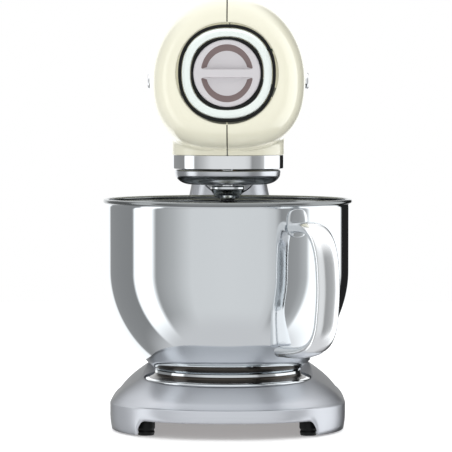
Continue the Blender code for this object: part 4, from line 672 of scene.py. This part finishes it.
# ---------------- bowl handle
# A heavy cast and chromed D-shaped grip. A rounded plate, curved to the wall, is welded to the
# bowl at the top, and the lower end runs into the bowl's shoulder.
handle_turn = math.radians(34.0)               # round from straight ahead, to the right
grip_half, grip_thick, grip_reach = 0.0110, 0.0100, 0.1492
grip_path = np.concatenate([
    bezier([(bowl_radius + 0.0018, 0.1785), (0.1270, 0.1805), (0.1440, 0.1805),
            (grip_reach, 0.1495)], 44),
    bezier([(grip_reach, 0.1495), (0.1514, 0.1295), (0.1514, 0.1240), (0.1482, 0.1020)], 30)[1:],
    bezier([(0.1482, 0.1020), (0.1442, 0.0740), (0.1180, 0.0730), (0.0878, 0.0730)], 44)[1:],
])


def to_handle(side, out, up):
    """Places across the handle, out from the bowl's axis and up, as world points."""
    x = side * math.cos(handle_turn) + out * math.sin(handle_turn)
    y = axis_y + side * math.sin(handle_turn) - out * math.cos(handle_turn)
    return np.stack([x, y, up + 0.0 * x], axis=-1)


def strap(name, path, half, thick, power=2.6, segments=64):
    """An oval bar along a path of (out, up) rows: at each row a superellipse, half wide and
    thick deep, stands square to the path; the ends are drawn to a point."""
    along = headings(path)
    turn = round_steps(segments)[None, :]
    cos, sin = np.cos(turn), np.sin(turn)
    depth = thick / 2 * powered(sin, 2 / power)
    out = path[:, 0, None] + depth * along[:, 1, None]
    up = path[:, 1, None] - depth * along[:, 0, None]
    side = half * powered(cos, 2 / power) + 0.0 * out
    return surface(name, pointed(to_handle(side, out, up)), wrap_v=True, sharp=50.0)


cast_chrome = finish("cast_chrome", (238, 240, 242), 0.19, metallic=1.0, grain=700.0,
                     tone=0.012, gloss=0.03, relief=0.000004)
grip = strap("bowl_grip", grip_path, grip_half, grip_thick)
dress(grip, cast_chrome, "bowl", "bowl_handle", slot="chrome")
plate_low, plate_high, plate_half, plate_deep = 0.1705, 0.1945, 0.0100, 0.0020
angle = round_steps(120)
plate_tall, plate_power = (plate_high - plate_low) / 2, 0.75
shape = np.stack([powered(np.cos(angle), plate_power) * plate_half,
                  powered(np.sin(angle), plate_power) * plate_tall], axis=-1)
rows = []
for scale, outward in ((0.0, 0.0002), (1.0, 0.0002), (1.0, plate_deep - 0.0004),
                       (0.985, plate_deep - 0.0001), (0.955, plate_deep), (0.6, plate_deep),
                       (0.3, plate_deep), (0.0, plate_deep)):
    wide, tall = shape[:, 0] * scale, shape[:, 1] * scale
    out = np.sqrt((bowl_radius + outward) ** 2 - wide ** 2)
    rows.append(to_handle(wide, out, (plate_low + plate_high) / 2 + tall))
weld_plate = surface("grip_weld_plate", np.array(rows), wrap_v=True, sharp=50.0)
dress(weld_plate, steel, "bowl", "handle_plate", slot="polished_steel")


# ---------------- head shells
# Two die-cast half shells in cream stove enamel, left and right, that meet on the head's
# middle line from the nose outlet over the top to the tail and back under the belly.
shell_low, shell_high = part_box("head_shell_right")
head_half, head_top, belly_z = 0.0670, shell_high[2], shell_low[2]
nose_y, tail_y = shell_low[1], shell_high[1]
head_middle, tail_z = 0.3030, 0.3050
cap_low, cap_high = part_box("outlet_cap")
outlet_z = (cap_low[2] + cap_high[2]) / 2
ring_radius = 0.0440
neck_radius, neck_bore = 0.0482, 0.0452
slot_half, slot_front, slot_rear = 0.0362, hinge_y - 0.0420, hinge_y + 0.0590
seam, seam_roll, seam_deep = 0.00050, 0.0007, 0.0026

# rows: distance along the head, half-width, top, bottom, widest height, lower power
lip_rows = np.array([
    (nose_y + back, ring_radius - inset, outlet_z + ring_radius - inset,
     outlet_z - ring_radius + inset, outlet_z, 2.0)
    for back, inset in ((0.0050, 0.0012), (0.0006, 0.0012), (0.0001, 0.0008))])
nose = bezier([
    (nose_y, ring_radius, outlet_z + ring_radius, outlet_z - ring_radius, outlet_z, 2.0),
    (nose_y + 0.0030, head_half - 0.0070, head_top - 0.0125, belly_z + 0.0080, head_middle, 2.4),
    (axis_y - 0.0500, head_half, head_top, belly_z, head_middle, 2.4),
    (axis_y, head_half, head_top, belly_z, head_middle, 2.4)], 80)
straight = np.linspace(nose[-1], (axis_y + 0.0910, *nose[-1][1:]), 44)[1:]
tail = bezier([
    straight[-1], (tail_y - 0.0690, *straight[-1][1:]),
    (tail_y, head_half - 0.0070, head_top - 0.0205, belly_z + 0.0200, tail_z, 2.4),
    (tail_y, 0.0, tail_z, tail_z, tail_z, 2.4)], 90)[1:]
stations = np.concatenate([lip_rows, nose, straight, tail])
neck_ends = axis_y + np.array((-1, 1)) * neck_radius
hair = 0.00002                                 # a step across an edge is made this steep
extra = np.concatenate([
    neck_ends - hair, neck_ends + hair, axis_y + neck_radius * np.sin(np.linspace(-1.45, 1.45, 60)),
    (slot_front - hair, slot_front + hair, slot_rear - hair, slot_rear + hair)])
order = stations[3:, 0]
more = np.stack([np.interp(extra, order, stations[3:, k]) for k in range(6)], axis=-1)
body_rows = np.concatenate([stations[3:], more])
body_rows = body_rows[np.argsort(body_rows[:, 0], kind="stable")]
stations = np.concatenate([stations[:3], body_rows])
along, half, top, low, middle, power = (stations[:, k, None] for k in range(6))
# The neck: near the bowl's axis the section stops at the neck's half-width and drops straight.
inside_neck = neck_radius ** 2 - (along - axis_y) ** 2
neck_x = np.where(inside_neck > 0, np.sqrt(np.maximum(inside_neck, 0.0)), 0.0)
bore_x = np.sqrt(np.maximum(neck_bore ** 2 - (along - axis_y) ** 2, 0.0))
in_slot = (along > slot_front) & (along < slot_rear)
stop_x = np.where(in_slot, np.minimum(slot_half, half * 0.98), neck_x)
stop_share = np.clip(stop_x / np.maximum(half, 1e-6), 0.0, 1.0)
# turn at which the lower half of the superellipse comes back in to stop_x
stop_turn = math.pi - np.arcsin(stop_share ** (power / 2.0))
count = 84
turn = np.linspace(0.0, 1.0, count)[None, :] * stop_turn
cos, sin = np.cos(turn), np.sin(turn)
upper = cos > 0
reach = np.where(upper, top - middle, middle - low)
exponent = np.where(upper, 1.0, 2.0 / power)
section_x = half * np.abs(sin) ** exponent
section_z = middle + reach * powered(cos, exponent)
down = np.linspace(0.0, 1.0, 15)[None, 1:]
has_neck = (inside_neck > 0) & ~in_slot
drop_to = np.where(has_neck, belly_z, section_z[:, -1:])
drop_x = section_x[:, -1:] + 0.0 * down
drop_z = section_z[:, -1:] + (drop_to - section_z[:, -1:]) * down
under_x = np.where(has_neck, np.maximum(neck_x * (1 - down) + bore_x * down, bore_x), drop_x)
half_x = np.concatenate([section_x, drop_x, under_x], axis=1)
half_z = np.concatenate([section_z, drop_z, drop_to + 0.0 * down], axis=1)
# Averaging again and again softens the crease where the neck leaves the belly.
passes = 14
near = slice(count - 7, count + 5)
before, after = slice(count - 8, count + 4), slice(count - 6, count + 6)
soft = has_neck & (neck_x > 0.012)
for _ in range(passes):
    for grid in (half_x, half_z):
        mean = (grid[:, before] + 2 * grid[:, near] + grid[:, after]) / 4
        grid[:, near] = np.where(soft, mean, grid[:, near])
# Each seam edge rolls in: a quarter round, then a short flange towards the inside.
quarter = np.linspace(0.0, math.pi / 2, 7)[None, :]
roll = np.minimum(seam_roll, 0.25 * half)
first_x = np.concatenate([0.0 * top, roll * (1 - np.cos(quarter))], axis=1)
# at the nose the flange stops short, clear of the outlet's seal
deep_share = np.clip((along - nose_y - 0.0030) / 0.0040, 0.0, 1.0) * np.minimum(1.0, half / 0.02)
first_z = np.concatenate([top - roll - (0.0002 + seam_deep * deep_share),
                          top - roll * (1 - np.sin(quarter))], axis=1)
squeeze = (half - roll) / np.maximum(half, 1e-6)
grid_x = np.concatenate([first_x, roll + half_x[:, 2:] * squeeze], axis=1)
grid_z = np.concatenate([first_z, half_z[:, 2:]], axis=1)
reaches_seam = ~in_slot & (bore_x <= 0)
last_x = np.where(reaches_seam, first_x[:, ::-1], grid_x[:, -1:])
last_z = np.where(reaches_seam, half_z[:, -1:] + (top - first_z)[:, ::-1], half_z[:, -1:])
grid_x = np.concatenate([grid_x[:, :-2], last_x], axis=1)
grid_z = np.concatenate([grid_z[:, :-2], last_z], axis=1)
# The cream enamel glows by emission, painted light that lifts its shaded chin and neck; its colour is
# dimmed to make up for the glow.
cream = finish("cream_enamel", (204, 202, 184), 0.22, grain=420.0, tone=0.008, gloss=0.03,
               relief=0.000012, coat=0.6, painted_glow=0.42)
for label, side in (("left", -1.0), ("right", 1.0)):
    points = np.stack([side * (seam + grid_x), along + 0.0 * grid_x, grid_z], axis=-1)
    shell = surface("head_half_" + label, points, sharp=42.0)
    thicken(shell, 0.0010)
    dress(shell, cream, "head", "head_shell_" + label, slot="cream_enamel")


# ---------------- seam cord
# A thin dark sealing cord lies behind the joint of the two half shells, over the top and round
# the tail, and down the chin.
line_y, line_top, line_low = stations[3:, 0], stations[3:, 2], stations[3:, 3]
chin = line_y < axis_y - neck_radius - 0.0004
behind = line_y > slot_rear + 0.002
cord_inset, cord_wide, cord_thick = 0.0021, 0.0014, 0.0005
paths = {
    "top": np.concatenate([np.stack([line_y, line_top], axis=-1),
                           np.stack([line_y, line_low], axis=-1)[behind][::-1]]),
    "chin": np.stack([line_y, line_low], axis=-1)[chin][::-1],
}
ring = round_steps(12)[None, :]
for label, path in paths.items():
    step = np.linalg.norm(np.diff(path, axis=0), axis=1)
    path = path[np.concatenate([[True], step > 0.0002])]
    along_path = headings(path)
    inward = np.stack([along_path[:, 1], -along_path[:, 0]], axis=-1)
    centre = path + inward * cord_inset
    thin = np.where(np.arange(len(path)) % (len(path) - 1) == 0, 0.0, 1.0)[:, None]
    cord = surface("seam_cord_" + label, np.stack([
        cord_wide * thin * np.cos(ring),
        centre[:, :1] + cord_thick * thin * inward[:, :1] * np.sin(ring),
        centre[:, 1:] + cord_thick * thin * inward[:, 1:] * np.sin(ring)], axis=-1), wrap_v=True)
    dress(cord, rubber, "head", slot="black_rubber")


# ---------------- neck band
# A turned and polished ring pressed on the neck, where the head ends above the hub.
band_low, band_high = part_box("neck_band")
band_radius = band_high[0]
band = turned("neck_ring", softened([
    (band_radius - 0.0026, band_low[2]), (band_radius, band_low[2]),
    (band_radius, band_high[2]), (band_radius - 0.0026, band_high[2])], 0.0004, closed=True),
    centre=(0.0, axis_y, 0.0), closed=True, segments=256)
dress(band, chrome, "head", "neck_band", slot="chrome")


# ---------------- outlet
# The accessory drive's mouth at the nose: a black rubber seal, a polished trim ring pressed in
# over it, and a second thin seal round the cap.
mouth = (0.0, nose_y, outlet_z)
gasket_low, gasket_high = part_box("outlet_gasket")
trim_low, trim_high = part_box("outlet_trim_ring")
inner_low, inner_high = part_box("outlet_inner_gasket")
# A squared ring stands out between its sides, so its radius at the sides is a little less.
outer_share, inner_share = 0.978, 0.972
gasket_radius, trim_radius = outer_share * gasket_high[0], outer_share * trim_high[0]
inner_radius = inner_share * inner_high[0]
gasket_out, trim_out, inner_out = (nose_y - low[1] for low in (gasket_low, trim_low, inner_low))
squared = 2.25
gasket = turned("outlet_seal", softened([
    (gasket_radius - 0.0020, -0.0050), (gasket_radius - 0.0003, -0.0020),
    (gasket_radius, gasket_out - 0.0006), (gasket_radius - 0.0012, gasket_out),
    (trim_radius + 0.0003, gasket_out - 0.0002), (trim_radius + 0.0003, -0.0050)], 0.0006,
    closed=True), centre=mouth, out=forward, closed=True, segments=256, power=squared)
dress(gasket, rubber, "head", "outlet_gasket", slot="black_rubber")
trim = turned("outlet_ring", softened([
    (inner_radius + 0.0003, -0.0046), (inner_radius + 0.0003, trim_out - 0.0008),
    (inner_radius + 0.0009, trim_out), (trim_radius - 0.0030, trim_out - 0.0001),
    (trim_radius - 0.0006, trim_out - 0.0011), (trim_radius, trim_out - 0.0024),
    (trim_radius - 0.0010, -0.0046)], 0.0007, closed=True),
    centre=mouth, out=forward, closed=True, segments=256, power=squared)
white_metal = finish("white_metal", (243, 251, 247), 0.22, metallic=0.45, grain=1200.0,
                     tone=0.008, gloss=0.03, relief=0.000002)
dress(trim, white_metal, "head", "outlet_trim_ring", slot="chrome")
inner_shape = softened([
    (cap_high[0] + 0.0003, -0.0036), (cap_high[0] + 0.0003, inner_out - 0.0004),
    (inner_radius - 0.0010, inner_out), (inner_radius, inner_out - 0.0006),
    (inner_radius, -0.0046), (cap_high[0] - 0.0035, -0.0046), (cap_high[0] - 0.0035, -0.0036)],
    0.0004, closed=True)
inner_power = np.where(inner_shape[:, 0] > inner_radius - 0.0015, squared, 2.0)
inner_seal = turned("outlet_inner_seal", inner_shape, centre=mouth, out=forward, closed=True,
                    segments=256, power=inner_power)
dress(inner_seal, rubber, "head", "outlet_inner_gasket", slot="black_rubber")


# ---------------- outlet cap
# A moulded grey plastic plug: two half-round recesses leave a bar across the middle that the
# fingers turn it by.
cap_radius, cap_out = cap_high[0], nose_y - cap_low[1]
cap_back = nose_y - cap_high[1]
bar_half, recess_radius, recess_deep, recess_slope = 0.0032, 0.0244, 0.0046, 0.0062
floor_narrow, rim_narrow = 0.94, 0.905       # width over height of the recess
plastic = finish("grey_plastic", (206, 203, 206), 0.42, grain=2400.0, tone=0.012, gloss=0.05,
                 relief=0.00001)
spot_up = 0.0102                               # a place inside each recess to draw round from


def half_round(radius, low, turn):
    """The reach from the spot to a D of that radius, flat side at low, at each turn: the nearer
    of the flat and the arc, with the corners eased by a high power mean."""
    cos, sin = np.cos(turn), np.sin(turn)
    along = spot_up * sin
    arc = -along + np.sqrt(along ** 2 + radius ** 2 - spot_up ** 2)
    flat = np.where(sin < -1e-3, (low - spot_up) / np.minimum(sin, -1e-3), 1.0)
    corner = 14.0
    return (arc ** -corner + flat ** -corner) ** (-1.0 / corner)


turn = round_steps(256)
floor_reach = half_round(recess_radius - recess_slope, bar_half + 0.0007, turn)
rim_reach = half_round(recess_radius, bar_half, turn)
body = turned("cap_body", softened([
    (0.0, cap_back), (cap_radius - 0.0004, cap_back), (cap_radius, cap_back + 0.0008),
    (cap_radius, cap_out - 0.0026), (cap_radius - 0.0012, cap_out - 0.0008),
    (cap_radius - 0.0034, cap_out - 0.0001), (0.0, cap_out)], 0.0009),
    centre=mouth, out=forward, segments=256, sharp=50.0)
for label, flip in (("upper", 1.0), ("lower", -1.0)):
    rows = []
    for share, out in ((0.0, -recess_deep), (1.0, -recess_deep), (1.12, -recess_deep + 0.0003),
                       (1.9, -0.0010), (2.0, -0.0004), (2.06, 0.0010), (2.06, 0.003), (0.0, 0.003)):
        inward, outward = min(share, 1.0), max(share - 1.0, 0.0)
        reach = floor_reach * inward + (rim_reach - floor_reach) * outward
        narrow = floor_narrow + (rim_narrow - floor_narrow) * min(outward, 1.0)
        rows.append(np.stack([
            narrow * reach * np.cos(turn), np.full(len(turn), nose_y - cap_out - out),
            outlet_z + flip * (spot_up + reach * np.sin(turn))], axis=-1))
    cutter = surface("recess_" + label, np.array(rows), wrap_v=True)
    combine(body, cutter, "DIFFERENCE")
dress(body, plastic, "cap", "outlet_cap", slot="grey_plastic")
# The sloping walls of the recesses take a darker, matt plastic finish: painted shade in the recesses.
matt_plastic = finish("matt_plastic", (124, 108, 107), 0.65, grain=2400.0, tone=0.03,
                      relief=0.00002)
spots = gathered(body.data.polygons, "center")
depth = spots[:, 1] - (nose_y - cap_out)
from_middle = np.hypot(spots[:, 0], spots[:, 2] - outlet_z)
part_finish(body, matt_plastic, (
    (depth > 0.0007) & (depth < recess_deep - 0.0002) & (from_middle < recess_radius + 0.0004)
    & (np.abs(spots[:, 2] - outlet_z) > bar_half + 0.0012)))


# ---------------- side studs
# Plain turned studs with a dished face in the sides of the head.
for label, side in (("left", -1.0), ("right", 1.0)):
    low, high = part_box("side_badge_" + label)
    radius, deep = (high[2] - low[2]) / 2, high[0] - low[0]
    centre = ((low if side > 0 else high)[0], (low[1] + high[1]) / 2, (low[2] + high[2]) / 2)
    stud = turned("side_stud_" + label, softened([
        (0.0, 0.0), (radius - 0.0006, 0.0), (radius, 0.0004), (radius, deep - 0.0012),
        (radius - 0.0008, deep), (radius - 0.0020, deep), (radius - 0.0026, deep - 0.0008),
        (0.0, deep - 0.0006)], 0.0004), centre=centre, out=(side, 0.0, 0.0), segments=96)
    dress(stud, chrome, "head", "side_badge_" + label, slot="chrome")


# ---------------- speed control
# A pressed steel plate with round ends and a long slot on top of the head, and the knob that
# slides along it, ribbed across for the thumb.
plate_low, plate_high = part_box("speed_plate")
plate_half, plate_middle = plate_high[0], (plate_low[1] + plate_high[1]) / 2
straight_half = (plate_high[1] - plate_low[1]) / 2 - plate_half
angle = round_steps(144)
rim_x, rim_y = np.cos(angle), np.sin(angle)
rows = []
for inset, height in ((1.0, 0.0), (0.0, 0.0), (0.0, 0.0012), (0.0003, 0.0018), (0.0008, 0.0021),
                      (0.0030, 0.0022), (0.0036, 0.0016), (0.0070, 0.0016), (1.0, 0.0016)):
    reach = max(plate_half - inset, 0.0)
    rows.append(np.stack([reach * rim_x, plate_middle + reach * rim_y
                          + straight_half * np.sign(rim_y) * (inset < 1.0),
                          np.full(len(angle), plate_low[2] + height)], axis=-1))
speed_plate = surface("speed_slide_plate", np.array(rows), wrap_v=True, sharp=40.0)
dress(speed_plate, chrome, "head", "speed_plate", slot="chrome")
lever_low, lever_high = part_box("speed_lever")
lever_half, lever_reach = lever_high[0], (lever_high[1] - lever_low[1]) / 2
lever_middle, lever_tall = (lever_low[1] + lever_high[1]) / 2, lever_high[2] - lever_low[2]
turn = round_steps(160)[None, :]
knob_rows = softened([(0.0, 0.0), (0.96, 0.0), (0.98, 0.10), (0.90, 0.55), (0.94, 0.80), (0.88, 0.97),
                      (0.0, 1.0)], 0.10, steps=8)
x, y = oval(lever_half * knob_rows[:, :1], lever_reach * knob_rows[:, :1],
            lever_reach * knob_rows[:, :1], 4.0, 4.0, turn)
rib_deep, rib_pitch = 0.00025, 0.0022
on_top = knob_rows[:, 1:] > 0.9
ribs = rib_deep * np.cos(y / (rib_pitch / 2) * math.pi) * on_top * (np.hypot(x, y) > 0)
z = lever_low[2] + lever_tall * knob_rows[:, 1:] - 0.0003 * on_top + ribs
lever = surface("speed_slide_knob", np.stack([x, y + lever_middle, z], axis=-1), wrap_v=True,
                sharp=50.0)
dress(lever, chrome, "lever", "speed_lever", slot="chrome")


# ---------------- keel
# The half-round cast block under the head's belly that drops into the column's saddle.
keel_round = (keel_high[0] - keel_low[0]) / 2
angle = np.linspace(0.0, -math.pi, 72)
outline = np.stack([keel_round * np.cos(angle),
                    keel_low[2] + keel_round + keel_round * np.sin(angle)], axis=-1)
outline = np.concatenate([outline, [(-keel_round, keel_high[2]), (keel_round, keel_high[2])]])
middle = outline.mean(axis=0)
rows = []
for scale, at in ((0.0, keel_low[1]), (0.965, keel_low[1]), (0.99, keel_low[1] + 0.0003),
                  (1.0, keel_low[1] + 0.0010), (1.0, keel_high[1] - 0.0010), (0.965, keel_high[1]),
                  (0.0, keel_high[1])):
    ring = middle + (outline - middle) * scale
    rows.append(np.stack([ring[:, 0], np.full(len(ring), at), ring[:, 1]], axis=-1))
keel = surface("belly_keel", np.array(rows), wrap_v=True, sharp=40.0)
seat_radius, seat_deep = 0.0090, 0.010
bored(keel, "keeper_seat", [(0.0, -0.01), (seat_radius, -0.01), (seat_radius, 0.02), (0.0, 0.02)],
      keel_high[1] - seat_deep, latch_z)
dress(keel, silver_paint, "head", "head_keel", slot="silver_paint")


# ---------------- planetary hub
# A turned aluminium dish, brushed round, that carries the beater shaft off its centre.
hub_low, hub_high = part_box("planetary_hub")
hub_radius, hub_z = hub_high[0], hub_low[2]
hub = turned("planetary_dish", np.concatenate([
    softened([(0.0, hub_z + 0.0014), (0.0330, hub_z + 0.0004), (0.0345, hub_z)], 0.002),
    bezier([(0.0350, hub_z), (0.0405, hub_z + 0.0010), (0.0448, hub_z + 0.0040),
            (0.0456, hub_z + 0.0078)], 28),
    softened([(hub_radius - 0.0003, hub_z + 0.0092), (hub_radius, hub_high[2] - 0.0010),
              (hub_radius - 0.0010, hub_high[2]), (hub_radius - 0.0020, hub_high[2]),
              (hub_radius - 0.0022, hub_z + 0.0090)], 0.0004),
    bezier([(0.0435, hub_z + 0.0080), (0.0425, hub_z + 0.0048),
            (0.0395, hub_z + 0.0028), (0.0340, hub_z + 0.0022)], 20),
    [(0.0, hub_z + 0.0030)]]), centre=(0.0, axis_y, 0.0), segments=256)
satin = finish("satin_aluminium", (206, 209, 214), 0.24, metallic=1.0, grain=900.0,
               stretch=(1.0, 1.0, 9.0), tone=0.04, gloss=0.05, relief=0.000006)
dress(hub, satin, "carrier", "planetary_hub", slot="satin_aluminium")


# ---------------- beater shaft
# The steel output shaft with its flared collar, a coil spring held under the collar, and the
# cross pin that a beater's bayonet slot hooks on.
shaft_low, shaft_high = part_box("beater_shaft")
shaft_y, shaft_radius = (shaft_low[1] + shaft_high[1]) / 2, (shaft_high[0] - shaft_low[0]) / 2
shaft = turned("output_shaft", softened([
    (0.0, shaft_low[2]), (shaft_radius - 0.0008, shaft_low[2]), (shaft_radius, shaft_low[2] + 0.0008),
    (shaft_radius, shaft_high[2]), (0.0, shaft_high[2])], 0.0004),
    centre=(0.0, shaft_y, 0.0), segments=96)
dress(shaft, steel, "beater", "beater_shaft", slot="machined_steel")
collar_low, collar_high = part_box("beater_collar")
collar_radius, collar_z = (collar_high[0] - collar_low[0]) / 2, collar_low[2]
collar = turned("output_collar", softened([
    (shaft_radius + 0.0002, collar_z), (0.0080, collar_z),
    (0.0092, collar_z + 0.0006), (0.0112, collar_z + 0.0022),
    (0.0130, collar_z + 0.0046),
    (collar_radius, collar_high[2] - 0.0030), (collar_radius, collar_high[2] - 0.0008),
    (collar_radius - 0.0008, collar_high[2]), (shaft_radius + 0.0002, collar_high[2])], 0.0006,
    closed=True), centre=(0.0, shaft_y, 0.0), closed=True, segments=144)
dress(collar, steel, "beater", "beater_collar", slot="machined_steel")
spring_low, spring_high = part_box("beater_spring")
wire, turns = 0.0005, 2.0
coil_radius = spring_high[0] - wire - 0.0001
t = np.linspace(0.0, 1.0, 161)[:, None]
ring = round_steps(16)[None, :]
thin = wire * np.where((t == 0) | (t == 1), 0.0, 1.0)
reach = coil_radius + thin * np.cos(ring)
spring = surface("output_spring", np.stack([
    reach * np.cos(TURN * turns * t), shaft_y + reach * np.sin(TURN * turns * t),
    spring_low[2] + wire + (spring_high[2] - spring_low[2] - 2 * wire) * t + thin * np.sin(ring),
], axis=-1), wrap_v=True, sharp=60.0)
spring_steel = finish("spring_steel", (46, 46, 48), 0.25, metallic=0.9, grain=1800.0,
                      tone=0.10, relief=0.000005)
dress(spring, spring_steel, "beater", "beater_spring", slot="machined_steel")
pin_low, pin_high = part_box("drive_pin")
pin_radius, pin_half = (pin_high[2] - pin_low[2]) / 2, (pin_high[0] - pin_low[0]) / 2
pin = turned("output_pin", softened([
    (0.0, -pin_half), (pin_radius - 0.0004, -pin_half), (pin_radius, -pin_half + 0.0004),
    (pin_radius, pin_half - 0.0004), (pin_radius - 0.0004, pin_half), (0.0, pin_half)], 0.0003),
    centre=(0.0, shaft_y, (pin_low[2] + pin_high[2]) / 2), out=(1.0, 0.0, 0.0), segments=48)
dress(pin, steel, "beater", "drive_pin", slot="machined_steel")


# ---------------- works inside
# Bearings, gears, motor, chassis, latch and board keep their shapes; each gets the finish of
# its own metal or plastic.
inside = {
    "silver_paint": silver_paint, "cream_enamel": cream, "polished_steel": steel, "chrome": chrome,
    "black_rubber": rubber, "grey_plastic": plastic, "satin_aluminium": satin,
}
# name, colour, roughness, metallic, grain, stretch, tone, relief
for name, colour, rough, metal, grain, stretch, tone, relief in (
        ("machined_steel", (168, 172, 178), 0.28, 1.0, 1800.0, (1.0, 1.0, 7.0), 0.05, 0.000008),
        ("cast_frame", (150, 152, 156), 0.55, 0.9, 1300.0, (1.0, 1.0, 1.0), 0.08, 0.00006),
        ("bronze", (176, 128, 74), 0.34, 1.0, 1500.0, (1.0, 1.0, 1.0), 0.06, 0.00001),
        ("nylon", (228, 224, 208), 0.45, 0.0, 1100.0, (1.0, 1.0, 1.0), 0.03, 0.00002),
        ("copper", (184, 104, 62), 0.30, 1.0, 2600.0, (1.0, 9.0, 1.0), 0.10, 0.00003),
        ("circuit_board", (30, 92, 54), 0.38, 0.0, 2200.0, (1.0, 1.0, 1.0), 0.20, 0.00003)):
    inside[name] = finish(name, colour, rough, metallic=metal, grain=grain,
                          stretch=stretch, tone=tone, relief=relief)
for obj in list(bpy.context.scene.objects):
    if obj.type != "MESH":
        continue
    for place in obj.material_slots:
        name = place.material.name.split(".")[0] if place.material else ""
        if name in inside:
            place.material = inside[name]
